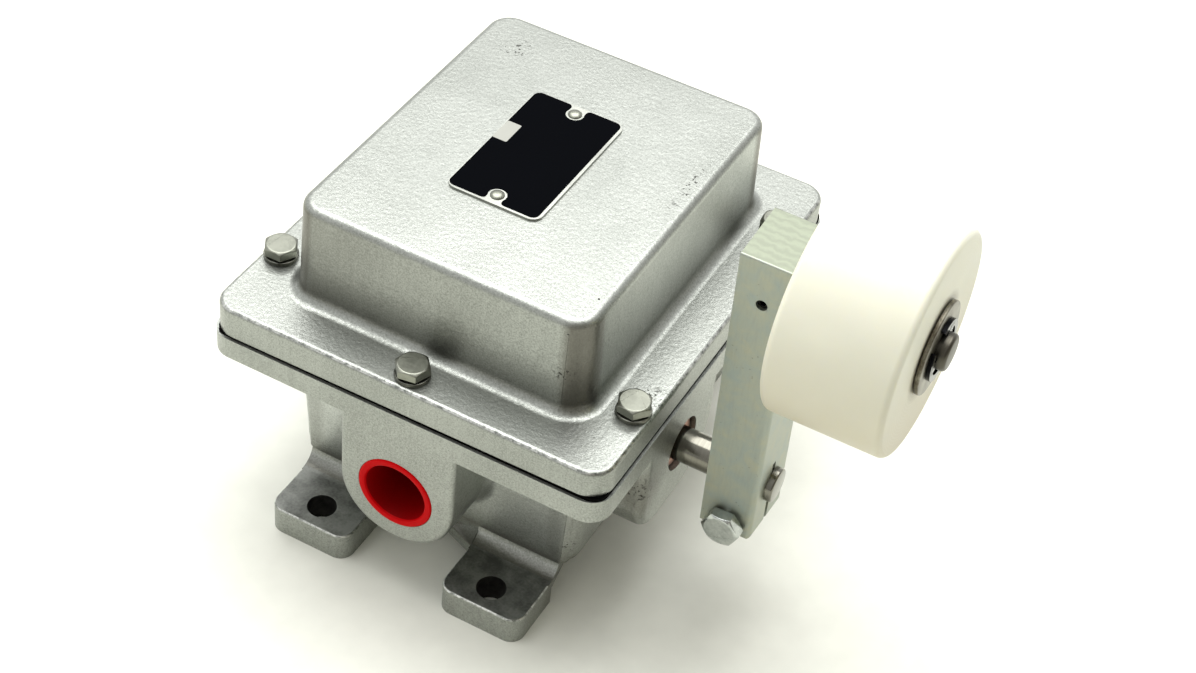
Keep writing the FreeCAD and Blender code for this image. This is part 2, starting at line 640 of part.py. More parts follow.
def cover_casting():
    """The upper half: a flange with a drafted, rounded box, open underneath."""
    body = new_body("cover_casting")
    flange = new_sketch(body, "XY_Plane", "gasket_top")
    rounded(flange, "-flange_half_x", "flange_half_x", "-flange_half_y", "flange_half_y",
            "flange_corner")
    feature(body, "Pad", flange, Length="cover_flange_thickness")
    box = new_sketch(body, "XY_Plane", "cover_flange_top")
    rounded(box, "-box_half_x", "box_half_x", "-box_half_y", "box_half_y", "box_corner")
    feature(body, "Pad", box, Length="box_rise", TaperAngle="-box_draft")
    top, joint = num("cover_top"), num("cover_flange_top")
    wide = num("flange_half_x-flange_corner")
    deep = num("flange_half_y-flange_corner")

    def inside(edge):
        middle = edge.CenterOfMass
        return abs(middle.x) < wide and abs(middle.y) < deep

    round_edges(body, "box_top_round", lambda edge: level(edge, top))
    round_edges(body, "box_root_round", lambda edge: level(edge, joint) and inside(edge))
    round_edges(body, "flange_edge_round", lambda edge: level(edge, joint) and not inside(edge))
    cavity = new_sketch(body, "XY_Plane", "gasket_top")
    rounded(cavity, "-box_half_x+cover_wall", "box_half_x-cover_wall",
            "-box_half_y+cover_wall", "box_half_y-cover_wall", "box_corner-cover_wall")
    feature(body, "Pocket", cavity, Length="cover_top-cover_wall-gasket_top",
            TaperAngle="-box_draft", Reversed=True)
    holes = new_sketch(body, "XY_Plane", "cover_flange_top")
    for x, y, height in BOLT_PLACES:
        circle(holes, x, y, "bolt_radius+bolt_clearance")
    feature(body, "Pocket", holes, Length="cover_flange_thickness")
    rivet_holes = new_sketch(body, "XY_Plane", "cover_top")
    for side in "+-":
        circle(rivet_holes, "plate_x", f"plate_y{side}rivet_spacing", "rivet_radius+thread_clearance")
    feature(body, "Pocket", rivet_holes, Length="rivet_length")
    return node(body, "cover_casting")


def cover_gasket():
    """A flat rubber frame with holes for the cover bolts."""
    body = new_body("cover_gasket")
    sketch = new_sketch(body, "XY_Plane", "base_flange_top")
    rounded(sketch, "-flange_half_x+gasket_inset", "flange_half_x-gasket_inset",
            "-flange_half_y+gasket_inset", "flange_half_y-gasket_inset",
            "gasket_corner")
    rounded(sketch, "-body_half_x", "body_half_x", "-body_half_y", "body_half_y", "body_corner")
    for x, y, height in BOLT_PLACES:
        circle(sketch, x, y, "bolt_radius+bolt_clearance")
    feature(body, "Pad", sketch, Length="gasket_thickness")
    return node(body, "cover_gasket")


def hex_bolt(name, length, flats, height):
    """A hexagon bolt standing on its seat, with a chamfered head."""
    bar = prism(name + "_bar", "z", ("0", "0", "0"), flats, height)
    skim = turned(name + "_skim", "z", [
        ("0", "0"), ("0", flats), (f"{height}-{flats}*0.3", flats), (height, f"{flats}*0.47"),
        (height, "0")])
    head = doc.addObject("Part::Common", name + "_head")
    head.Base = bar
    head.Tool = skim
    tip = f"-({length})"
    shank = turned(name + "_shank", "z", [
        (tip, "0"), (tip, "bolt_radius-shaft_chamfer"), (f"{tip}+shaft_chamfer", "bolt_radius"),
        (f"{height}/2", "bolt_radius"), (f"{height}/2", "0")])
    return fuse(name, head, shank)


def cover_fasteners():
    """Six hexagon bolts, each on a split lock washer."""
    bolt = hex_bolt("cover_bolt", "bolt_length", "bolt_flats", "bolt_head")
    raised = [(x, y, f"{z}+washer_thickness") for x, y, z in BOLT_PLACES]
    node(copies("cover_bolts", bolt, raised), "cover_bolts")
    ring = tube("lock_washer", "z", "0", "washer_thickness", "washer_radius",
                "bolt_radius+bolt_clearance")
    gap = block("lock_split", ("0", "-washer_split/2", "-washer_thickness"),
                ("washer_radius*2", "washer_split", "washer_thickness*3"))
    split = cut("split_washer", ring, gap)
    node(copies("cover_lock_washers", split, BOLT_PLACES), "cover_lock_washers")


def conduit_plug():
    """A thin plastic cup that closes the conduit hub, open to the outside."""
    mouth = "-base_half_y-plug_proud"
    end = f"{mouth}+plug_depth"
    outer = "hub_bore_radius-plug_clearance"
    cup = turned("conduit_plug", "y", [
        (end, "0"), (end, f"{outer}-plug_rim/2"), (mouth, outer), (mouth, f"{outer}-plug_rim"),
        (f"{end}-plug_end", f"{outer}-plug_rim*1.5"), (f"{end}-plug_end", "0")])
    return node(place(cup, "0", "0", "hub_height"), "conduit_plug")


def name_plate():
    """A bare rectangular plate with rounded corners, and the two rivets that hold it."""
    body = new_body("name_plate")
    sketch = new_sketch(body, "XY_Plane", "cover_top")
    rounded(sketch, "plate_x-plate_half_x", "plate_x+plate_half_x", "plate_y-plate_half_y",
            "plate_y+plate_half_y", "plate_corner")
    spots = [("plate_x", f"plate_y{side}rivet_spacing") for side in "+-"]
    for x, y in spots:
        circle(sketch, x, y, "rivet_radius+thread_clearance")
    feature(body, "Pad", sketch, Length="plate_thickness")
    node(body, "name_plate")
    rivet = turned("plate_rivet", "z", [
        ("-rivet_length", "0"), ("-rivet_length", "rivet_radius"), ("0", "rivet_radius"),
        ("0", "rivet_head_radius"), ("rivet_head*0.6", "rivet_head_radius*0.8"),
        ("rivet_head", "rivet_head_radius*0.4"), ("rivet_head", "0")])
    tops = [(x, y, "cover_top+plate_thickness") for x, y in spots]
    node(copies("plate_rivets", rivet, tops), "plate_rivets")


def on_shaft(thing):
    """Put a piece that is drawn about the X axis on the shaft."""
    return place(thing, "0", "shaft_y", "shaft_z")


def on_lever(thing):
    """Put a piece that is drawn about the shaft, lever upright, at the lever's lean."""
    lean = Rotation(Vector(1, 0, 0), num("lever_tilt"))
    return place(thing, "0", "shaft_y", "shaft_z", rotation=lean)


def shaft_and_bearings():
    """The rocking shaft, its two bushes, its seal and the ring that keeps it in place."""
    outer = tube("outer_bush", "x", "bush_inner_x", "bush_outer_x", "bush_radius", "bush_bore")
    node(on_shaft(outer), "outer_bush")
    inner_end = "blind_bush_gap-inner_half_x"
    inner = tube("inner_bush", "x", inner_end, "blind_mouth_x", "bush_radius", "bush_bore")
    node(on_shaft(inner), "inner_bush")
    seal = tube("shaft_seal", "x", "seal_inner_x", "bush_inner_x", "shaft_radius+seal_wall", "bush_bore")
    node(on_shaft(seal), "shaft_seal")
    groove = "shaft_radius-groove_depth"
    shaft = turned("shaft", "x", [
        ("shaft_start_x", "0"), ("shaft_start_x", "shaft_radius-shaft_chamfer"),
        ("shaft_start_x+shaft_chamfer", "shaft_radius"), ("ring_x", "shaft_radius"),
        ("ring_x", groove), ("ring_x+ring_thickness", groove),
        ("ring_x+ring_thickness", "shaft_radius"), ("shaft_end_x-shaft_chamfer", "shaft_radius"),
        ("shaft_end_x", "shaft_radius-shaft_chamfer"), ("shaft_end_x", "0")])
    node(on_shaft(shaft), "shaft")
    ring = tube("ring_blank", "x", "ring_x+seat_clearance", "ring_x+ring_thickness-seat_clearance",
                "shaft_radius+ring_height", f"{groove}+seat_clearance")
    gap = block("ring_gap", ("ring_x-ring_thickness", "-shaft_radius/2", "0"),
                ("ring_thickness*3", "shaft_radius", "shaft_radius*2"))
    node(on_shaft(cut("retaining_ring", ring, gap)), "shaft_retaining_ring")


def lever_arm():
    """A square-edged bar clamped on the shaft through a sawn slot."""
    body = new_body("lever_arm")
    bar = new_sketch(body, "YZ_Plane", "lever_inner_x")
    rounded(bar, "-lever_half", "lever_half", "-lever_below", "lever_above", "lever_edge_round")
    circle(bar, "0", "0", "shaft_radius+seat_clearance")
    circle(bar, "0", "axle_up", "axle_radius+seat_clearance")
    feature(body, "Pad", bar, Length="lever_thickness")
    slot = new_sketch(body, "YZ_Plane", "lever_outer_x")
    half = "clamp_slot/2"
    polygon(slot, [(f"-{half}", "-lever_below-clamp_slot"), (half, "-lever_below-clamp_slot"),
                   (half, "clamp_slot_above"), (f"-{half}", "clamp_slot_above")])
    feature(body, "Pocket", slot, Length="lever_thickness")
    screw_hole = new_sketch(body, "XZ_Plane", "lever_half")
    circle(screw_hole, LEVER_MID, "axle_up", "set_screw_radius+thread_clearance")
    feature(body, "Pocket", screw_hole, Length="lever_half-axle_radius*0.9")
    clamp_hole = new_sketch(body, "XZ_Plane", "lever_half")
    circle(clamp_hole, LEVER_MID, "-clamp_bolt_drop", "bolt_radius+thread_clearance")
    feature(body, "Pocket", clamp_hole, Length="clamp_bolt_length+end_play")
    return node(on_lever(body), "lever_arm")


LEVER_MID = "lever_inner_x+lever_thickness/2"


def lever_fasteners():
    """The clamp bolt across the slot and the set screw that holds the axle."""
    bolt = hex_bolt("clamp_bolt_upright", "clamp_bolt_length", "clamp_flats", "clamp_head")
    place(bolt, LEVER_MID, "-lever_half", "-clamp_bolt_drop", rotation=Rotation(Vector(1, 0, 0), 90))
    group = doc.addObject("Part::Compound", "clamp_bolt")
    group.Links = [bolt]
    node(on_lever(group), "clamp_bolt")
    start = "-lever_half+set_screw_sunk"
    stud = cylinder("axle_stud", "y", (LEVER_MID, start, "axle_up"), "set_screw_radius",
                    f"-axle_radius-({start})")
    socket = prism("axle_socket", "y", (LEVER_MID, start, "axle_up"), "set_screw_socket*2",
                   "set_screw_radius")
    node(on_lever(cut("axle_set_screw", stud, socket)), "axle_set_screw")


def roller_group():
    """The axle held in the lever, the roller that spins on it, its washers and its clip."""
    groove = "axle_radius-groove_depth"
    start = "lever_inner_x+axle_shoulder"
    axle = turned("roller_axle", "x", [
        (start, "0"), (start, "axle_radius-shaft_chamfer"),
        (f"{start}+shaft_chamfer", "axle_radius"), ("clip_x", "axle_radius"), ("clip_x", groove),
        ("clip_x+clip_thickness", groove), ("clip_x+clip_thickness", "axle_radius"),
        ("axle_end_x-shaft_chamfer", "axle_radius"), ("axle_end_x", "axle_radius-shaft_chamfer"),
        ("axle_end_x", "0")])
    bore = "axle_radius+running_clearance"
    wheel = turned("roller", "x", [
        ("roller_inner_x", bore), ("roller_outer_x", bore), ("roller_outer_x", "roller_radius"),
        ("roller_inner_x", "roller_radius")])
    reach = num("roller_radius")
    round_edges(wheel, "roller_edge_round",
                lambda edge: near(edge.BoundBox.YMax, reach) and edge.BoundBox.XLength < 1)
    inner = tube("inner_washer", "x", "lever_outer_x", "lever_outer_x+axle_washer_thickness",
                 "axle_washer_radius", "axle_radius+bolt_clearance")
    outer = tube("outer_washer", "x", "washer_outer_x", "clip_x", "axle_washer_radius",
                 "axle_radius+bolt_clearance")
    ring = tube("clip_blank", "x", "clip_x+seat_clearance", "clip_x+clip_thickness-seat_clearance",
                "clip_radius", f"{groove}+seat_clearance")
    gap = block("clip_gap", ("clip_x-clip_thickness", "-clip_mouth/2", "0"),
                ("clip_thickness*3", "clip_mouth", "clip_radius*2"))
    clip = cut("clip", ring, gap)
    for thing, label in ((axle, "roller_axle"), (wheel, "roller"), (inner, "inner_axle_washer"),
                         (outer, "outer_axle_washer"), (clip, "axle_clip")):
        lean = Rotation(Vector(1, 0, 0), num("lever_tilt+clip_turn" if thing is clip else "lever_tilt"))
        place(thing, "0", "shaft_y-axle_up*sin(lever_tilt*1deg)",
              "shaft_z+axle_up*cos(lever_tilt*1deg)", rotation=lean)
        node(thing, label)


def cams_and_collar():
    """Two cams that work the switches and the collar that the return spring drives."""
    for step, label in enumerate(("first_cam", "second_cam")):
        start = f"switch_first_x+switch_pitch*{step}+switch_thickness/2-cam_width/2"
        disc = tube(label + "_disc", "x", start, f"{start}+cam_width", "cam_radius",
                    "shaft_radius+seat_clearance")
        flat = block(label + "_flat", (f"{start}-cam_width", "cam_flat", "-cam_radius"),
                     ("cam_width*3", "cam_radius", "cam_radius*2"))
        hole = cylinder(label + "_hole", "z", (f"{start}+cam_width/2", "0", "-cam_radius*2"),
                        "cam_screw_radius+thread_clearance", "cam_radius*2")
        node(on_shaft(cut(label + "_cut", disc, flat, hole)), label)
    far = "collar_x-collar_length"
    ring = tube("collar_ring", "x", far, "collar_x", "collar_radius", "shaft_radius+seat_clearance")
    tab_top = "collar_radius*0.6"
    tab = block("collar_tab", (far, "-spring_post_half", "-collar_reach"),
                ("collar_length", "spring_post_half*2", f"collar_reach-{tab_top}"))
    bar = block("drive_bar", ("spring_end_x-drive_bar_over", "-spring_post_half", "-collar_reach"),
                (f"{far}-spring_end_x+drive_bar_over", "spring_post_half*2", "drive_bar"))
    hole = cylinder("collar_hole", "z", ("collar_x-collar_length/2", "0", "0"),
                    "cam_screw_radius+thread_clearance", "collar_radius*2")
    node(on_shaft(cut("collar_cut", fuse("collar_blank", ring, tab, bar), hole)), "spring_collar")
    screws = []
    for step in range(2):
        x = f"switch_first_x+switch_pitch*{step}+switch_thickness/2"
        screws.append(cylinder(f"cam_screw_{step}", "z", (x, "0", "-cam_radius+set_screw_sunk"),
                               "cam_screw_radius", "cam_radius-set_screw_sunk-shaft_radius"))
    screws.append(cylinder("collar_screw", "z", ("collar_x-collar_length/2", "0", "shaft_radius"),
                           "cam_screw_radius", "collar_radius-set_screw_sunk-shaft_radius"))
    group = doc.addObject("Part::Compound", "shaft_set_screws")
    group.Links = screws
    node(on_shaft(group), "shaft_set_screws")


def return_spring():
    """A torsion spring round the shaft with two legs astride the post in the base."""
    wire, coil = num("spring_wire"), num("spring_coil")
    start, pitch, turns = num("spring_start_x"), num("spring_pitch"), num("spring_turns")
    leg = num("spring_leg")
    helix = Part.makeHelix(pitch, pitch * turns, coil)
    helix.rotate(Vector(), Vector(0, 1, 0), -90)
    helix.translate(Vector(start, 0, 0))
    first = helix.Edges[0].valueAt(helix.Edges[0].FirstParameter)
    heading = helix.Edges[0].tangentAt(helix.Edges[0].FirstParameter)
    profile = Part.Wire(Part.Circle(first, heading, wire).toShape())
    coils = Part.Wire(helix.Edges).makePipeShell([profile], True, True)
    legs = []
    last = helix.Edges[-1].valueAt(helix.Edges[-1].LastParameter)
    for end, side in ((first, 1), (last, -1)):
        legs.append(Part.makeCylinder(wire, leg, Vector(end.x, side * coil, 0), Vector(0, 0, -1)))
    made = doc.addObject("Part::Feature", "return_spring")
    made.Shape = coils.fuse(legs)
    node(on_shaft(made), "return_spring")


def switch_group():
    """Two snap switches on a bent bracket, with their plungers, screws and terminals."""
    upright = block("bracket_upright", ("bracket_x", "switch_face_y", "post_top"),
                    ("bracket_thickness", "switch_depth", "switch_low_z+switch_height-post_top"))
    foot = block("bracket_foot_plate", ("bracket_end_x", "switch_face_y", "post_top"),
                 ("bracket_foot", "switch_depth", "bracket_thickness"))
    tools = [cylinder(f"bracket_hole_{step}", "z", (x, y, "post_top-bracket_thickness"),
                      "small_screw_radius+bolt_clearance", "bracket_thickness*3")
             for step, (x, y) in enumerate(BRACKET_SCREWS)]
    through = [("switch_face_y+switch_hole_depth",
                f"switch_low_z+switch_height/2{side}switch_hole_spacing/2") for side in "+-"]
    tools += [cylinder(f"bracket_bore_{step}", "x", ("bracket_x-bracket_thickness", y, z),
                       "small_screw_radius+thread_clearance", "bracket_thickness*3")
              for step, (y, z) in enumerate(through)]
    node(cut("bracket_cut", fuse("bracket_blank", upright, foot), *tools), "switch_bracket")
    for step, label in enumerate(("first_switch", "second_switch")):
        x = f"switch_first_x+switch_pitch*{step}"
        case = block(label + "_case", (x, "switch_face_y", "switch_low_z"),
                     ("switch_thickness", "switch_depth", "switch_height"))
        bores = [cylinder(f"{label}_bore_{i}", "x", (f"{x}-switch_gap", y, z),
                          "small_screw_radius+thread_clearance", "switch_thickness+switch_gap*2")
                 for i, (y, z) in enumerate(through)]
        middle = f"{x}+switch_thickness/2"
        well = cylinder(label + "_well", "y", (middle, "switch_face_y-end_play", "shaft_z"),
                        "plunger_radius+running_clearance",
                        "plunger_inside+plunger_travel+end_play*2")
        taps = [cylinder(f"{label}_tap_{i}", "y", (middle, y, z), "small_screw_radius+thread_clearance",
                         "small_screw_grip+end_play*2") for i, (y, z) in enumerate(TERMINALS)]
        node(cut(label + "_cut", case, well, *bores, *taps), label)
        tip = "switch_face_y-plunger_free"
        plunger = turned(label + "_pin", "y", [
            (tip, "0"), (tip, "plunger_radius*0.6"), (f"{tip}+plunger_radius*0.4", "plunger_radius"),
            ("switch_face_y+plunger_inside", "plunger_radius"), ("switch_face_y+plunger_inside", "0")])
        node(place(plunger, middle, "0", "shaft_z"), label + "_plunger")
    long_screw = screw("switch_screw", "x", "switch_pitch*2-switch_gap+bracket_thickness")
    node(copies("switch_screws", long_screw,
                [("switch_first_x+switch_pitch*2-switch_gap", y, z) for y, z in through]),
         "switch_screws")
    short = screw("bracket_screw", "z", "small_screw_grip+bracket_thickness")
    node(copies("bracket_screws", short,
                [(x, y, "post_top+bracket_thickness") for x, y in BRACKET_SCREWS]),
         "bracket_screws")
    terminal = screw("terminal_screw", "y", "small_screw_grip")
    node(copies("terminal_screws", terminal,
                [(f"switch_first_x+switch_pitch*{step}+switch_thickness/2",
                  "switch_face_y+switch_depth", z) for step in range(2) for y, z in TERMINALS]),
         "terminal_screws")
    ground = screw("ground_stud", "z", "small_screw_grip")
    node(copies("ground_screw", ground, [("ground_x", "ground_y", "post_top")]), "ground_screw")


TERMINALS = [("switch_face_y+switch_depth-small_screw_grip-end_play",
              f"switch_low_z+switch_height/2+terminal_pitch*{step}") for step in (-1, 0, 1)]


def screw(name, axis, length):
    """A small pan-head screw drawn at its seat, with its head on the positive side."""
    return turned(name, axis, [
        (f"-({length})", "0"), (f"-({length})", "small_screw_radius"), ("0", "small_screw_radius"),
        ("0", "small_screw_head_radius"), ("small_screw_head*0.6", "small_screw_head_radius"),
        ("small_screw_head", "small_screw_head_radius*0.7"), ("small_screw_head", "0")])


base_casting()
cover_casting()
cover_gasket()
cover_fasteners()
conduit_plug()
name_plate()
shaft_and_bearings()
lever_arm()
lever_fasteners()
roller_group()
cams_and_collar()
return_spring()
switch_group()
doc.recompute()

for thing in doc.Objects:
    if {"Invalid", "Error"} & set(thing.State):
        raise RuntimeError(f"{thing.Name} failed: {thing.State}")
for thing in NODES:
    if thing.Shape.isNull() or not thing.Shape.isValid():
        raise RuntimeError(f"{thing.Label} has no valid shape")

os.makedirs("parts", exist_ok=True)
for thing in NODES:
    thing.Shape.exportStep(f"parts/{thing.Label}.step")
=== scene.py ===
"""Looks of a roller lever position switch: cast housing, bolted cover, zinc plated lever and nylon roller."""
import json
import math

import bmesh
import bpy
from bpy.props import FloatProperty, FloatVectorProperty, PointerProperty
from mathutils import Matrix, Vector

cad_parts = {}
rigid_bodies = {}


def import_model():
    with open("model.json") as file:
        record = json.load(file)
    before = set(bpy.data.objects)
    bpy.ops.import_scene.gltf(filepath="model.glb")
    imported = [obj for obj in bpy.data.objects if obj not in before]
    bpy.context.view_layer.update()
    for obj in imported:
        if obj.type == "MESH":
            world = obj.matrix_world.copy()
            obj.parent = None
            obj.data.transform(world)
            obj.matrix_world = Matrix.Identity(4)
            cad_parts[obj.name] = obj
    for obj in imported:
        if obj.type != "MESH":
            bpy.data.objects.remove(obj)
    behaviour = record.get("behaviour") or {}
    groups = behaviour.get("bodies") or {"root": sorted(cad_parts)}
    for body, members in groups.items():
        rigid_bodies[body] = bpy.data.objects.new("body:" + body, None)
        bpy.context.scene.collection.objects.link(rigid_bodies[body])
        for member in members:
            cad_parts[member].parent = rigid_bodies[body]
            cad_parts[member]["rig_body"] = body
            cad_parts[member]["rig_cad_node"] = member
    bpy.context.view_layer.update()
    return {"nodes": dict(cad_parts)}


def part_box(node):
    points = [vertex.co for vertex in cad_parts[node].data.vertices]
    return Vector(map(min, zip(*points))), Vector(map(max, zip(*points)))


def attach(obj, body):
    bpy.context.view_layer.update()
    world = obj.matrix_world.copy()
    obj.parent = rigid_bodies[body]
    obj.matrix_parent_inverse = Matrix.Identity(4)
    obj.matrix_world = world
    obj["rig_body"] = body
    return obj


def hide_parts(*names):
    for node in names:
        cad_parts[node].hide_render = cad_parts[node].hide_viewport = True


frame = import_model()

bl_info = {
    "name": "Position switch looks",
    "version": (1, 0, 0),
    "blender": (4, 5, 0),
    "location": "View3D > Sidebar > Switch",
    "description": "Dresses the packed roller lever position switch and lights it on a pale floor",
    "category": "Object",
}

MM = 0.001


def linear(code):
    """Linear RGB of an sRGB hex colour."""
    parts = [int(code[at:at + 2], 16) / 255 for at in (1, 3, 5)]
    return tuple(p / 12.92 if p <= 0.04045 else ((p + 0.055) / 1.055) ** 2.4 for p in parts)


def per_mm(size):
    """Texture scale that gives a pattern of this size in millimetres."""
    return 1 / (size * MM)


def per_wave(size):
    """Scale of a wave texture whose ridges are this far apart in millimetres."""
    return math.pi / (10 * size * MM)


def colour_of(name, description, code):
    """A colour a user may change."""
    return FloatVectorProperty(name=name, description=description, subtype="COLOR", size=3,
                               min=0.0, max=1.0, default=linear(code))


def length_of(name, description, millimetres):
    """A length a user may change, kept in metres."""
    return FloatProperty(name=name, description=description, unit="LENGTH", min=0.0, precision=5,
                         default=millimetres * MM)


class SwitchCastingLook(bpy.types.PropertyGroup):
    """Finish of the base, the cover and the gasket between them"""
    light: colour_of("Light metal", "Clean cast aluminium", "#acafa9")
    dark: colour_of("Dull metal", "Handled or oxidised aluminium", "#8d908a")
    # This brown-grey darkens the upright corners and the left end of the cover's walls, and is painted as shade at the
    # foot of those walls, at the roots of the feet and on the boss
    stain: colour_of("Stain", "Brown-grey on corners and walls, painted shade at the roots", "#625f57")
    # Painted shade: the foot tops get this darker colour
    foot_top_shade: colour_of("Foot tops", "Darker metal on the foot tops, painted shade", "#868883")
    gasket: colour_of("Gasket", "Rubber between the flanges", "#030303")
    peel: length_of("Peel size", "Width of one bump of the cast skin", 1.7)
    depth: length_of("Peel depth", "Depth of the cast skin", 0.13)
    edge: length_of("Edge", "Rounding of the casting edges", 0.6)


class SwitchSteelLook(bpy.types.PropertyGroup):
    """Finish of bolts, washers, shaft and lever"""
    bolt: colour_of("Bolt", "Stainless cover bolts", "#8d8f84")
    zinc: colour_of("Zinc plate", "Plated lever bar", "#a4a89c")
    shaft: colour_of("Shaft", "Ground shaft", "#807e74")
    bronze: colour_of("Bronze", "Bush in the bearing boss", "#d6a48f")
    clip: colour_of("Clip", "Blackened spring steel", "#1c1c1e")


class SwitchPlasticLook(bpy.types.PropertyGroup):
    """Finish of the plug, the roller and the plate"""
    plug: colour_of("Plug", "Moulded thread plug", "#c60208")
    roller: colour_of("Roller", "Turned nylon", "#e6e5d3")
    enamel: colour_of("Plate", "Printed plate field", "#020306")
    window: colour_of("Plate window", "Bare white field for marking by hand", "#a3a49b")


class SwitchStageLook(bpy.types.PropertyGroup):
    """Camera, floor and lights"""
    lens: FloatProperty(name="Lens", description="Focal length in millimetres on a 36 mm sensor", default=66.07)
    eye: FloatVectorProperty(name="Camera", description="Where the camera stands", subtype="TRANSLATION",
                             unit="LENGTH", default=(0.26275, -0.53129, 0.60323))
    aim: FloatVectorProperty(name="View", description="Direction of view", subtype="DIRECTION",
                             default=(-0.2956, 0.6721, -0.6789))
    side: FloatVectorProperty(name="Right", description="Direction to the right of the picture", subtype="DIRECTION",
                              default=(0.87561, 0.47479, 0.08878))
    floor: colour_of("Floor", "Pale paper floor", "#f0f1e6")
    lamp: FloatVectorProperty(name="Lamp", description="Where the soft light hangs", subtype="TRANSLATION",
                              unit="LENGTH", default=(-0.22, 0.32, 1.35))
    key: FloatProperty(name="Key light", description="Power of the soft light above and behind", unit="POWER",
                       default=27.0)
    sky: FloatProperty(name="Surroundings", description="Brightness of the pale room", default=1.0)
    dim: colour_of("Dim side", "The dim side of the room, to the right of the table", "#97938b")


class SwitchLook(bpy.types.PropertyGroup):
    """All settings of the dressed switch"""
    casting: PointerProperty(type=SwitchCastingLook)
    steel: PointerProperty(type=SwitchSteelLook)
    plastic: PointerProperty(type=SwitchPlasticLook)
    stage: PointerProperty(type=SwitchStageLook)


def look():
    """The settings that the scene holds."""
    return bpy.context.scene.switch_look


# Materials

def add(tree, kind, links=None, stops=(), **settings):
    """Adds a node. links maps an input to a value or to (node, output); stops are a ramp's places and colours."""
    made = tree.nodes.new("ShaderNode" + kind)
    for key, value in settings.items():
        setattr(made, key, value)
    for socket, value in (links or {}).items():
        if isinstance(value, tuple) and isinstance(value[0], bpy.types.Node):
            tree.links.new(value[0].outputs[value[1]], made.inputs[socket])
        else:
            made.inputs[socket].default_value = value
    for number, (place, colour) in enumerate(stops):
        element = made.color_ramp.elements[number] if number < 2 else made.color_ramp.elements.new(place)
        element.position = place
        element.color = paint(colour)
    return made


def paint(value):
    """What a colour socket takes: a link as it is, and a grey level or a colour with an alpha of one."""
    if isinstance(value, float):
        return (value, value, value, 1.0)
    return value if isinstance(value[0], bpy.types.Node) else (*value, 1.0)


def dimmed(colour, share):
    """The same colour at a share of its brightness."""
    return tuple(share * part for part in colour)


class Finish:
    """A material in the making. Each step returns a node with the output that the next step takes."""

    def __init__(self, name):
        self.made = bpy.data.materials.new(name)
        self.made.use_nodes = True
        self.tree = self.made.node_tree
        self.tree.nodes.clear()
        place = add(self.tree, "TexCoord")
        self.at, self.normal = (place, "Object"), (place, "Normal")

    def noise(self, size, detail, at=None, **more):
        """Noise with a pattern of this size in mm."""
        links = {"Vector": at or self.at, "Scale": per_mm(size), "Detail": detail, **more}
        return add(self.tree, "TexNoise", links), "Fac"

    def waves(self, size, at, links, **settings):
        """Ripples that are this far apart in mm."""
        return add(self.tree, "TexWave", {"Vector": at, "Scale": per_wave(size), **links}, **settings), "Fac"

    def moved(self, at, scale=(1.0, 1.0, 1.0), location=(0.0, 0.0, 0.0)):
        """A place scaled and then moved."""
        return add(self.tree, "Mapping", {"Vector": at, "Scale": scale, "Location": location}), "Vector"

    def folded(self, at):
        """A place with its signs dropped, so that all four corners are one."""
        return add(self.tree, "VectorMath", {0: at}, operation="ABSOLUTE"), "Vector"

    def split(self, at):
        """X, Y and Z of a place or direction."""
        made = add(self.tree, "SeparateXYZ", {"Vector": at})
        return (made, "X"), (made, "Y"), (made, "Z")

    def distance(self, at):
        """How far a place lies from the origin."""
        return add(self.tree, "VectorMath", {0: at}, operation="LENGTH"), "Value"

    def span(self, value, low, high, start=0.0, end=1.0):
        """Maps the stretch from low to high to the stretch from start to end."""
        links = {"Value": value, "From Min": low, "From Max": high, "To Min": start, "To Max": end}
        return add(self.tree, "MapRange", links), "Result"

    def calc(self, operation, *values):
        """One step of arithmetic."""
        return add(self.tree, "Math", dict(enumerate(values)), operation=operation), "Value"

    def ramp(self, value, *stops):
        """Colours or grey levels along a value."""
        return add(self.tree, "ValToRGB", {"Fac": value}, stops), "Color"

    def mix(self, share, one, other, blend="MIX"):
        """Two colours mixed."""
        links = {"Fac": share, "Color1": paint(one), "Color2": paint(other)}
        return add(self.tree, "MixRGB", links, blend_type=blend), "Color"

    def bump(self, height, strength, depth):
        """Relief of this depth in metres."""
        return add(self.tree, "Bump", {"Height": height, "Strength": strength, "Distance": depth}), "Normal"

    def done(self, colour, rough, **more):
        """Ends the material with its surface and returns it."""
        skin = add(self.tree, "BsdfPrincipled", {"Base Color": colour, "Roughness": rough, **more})
        add(self.tree, "OutputMaterial", {"Surface": (skin, "BSDF")})
        return self.made


# Places in mm where the castings are chipped, with the reach of the chips along X and Z and along Y
MARKS = ((-38.9, 50.5, 135.8, 7.0, 7.0), (71.5, -46.0, 96.8, 7.0, 7.0), (49.0, -68.8, 114.0, 4.5, 4.5),
         (74.5, -53.0, 59.0, 8.0, 8.0), (54.5, -61.5, 26.0, 4.0, 4.0), (49.6, 14.5, 135.8, 2.6, 20.0))


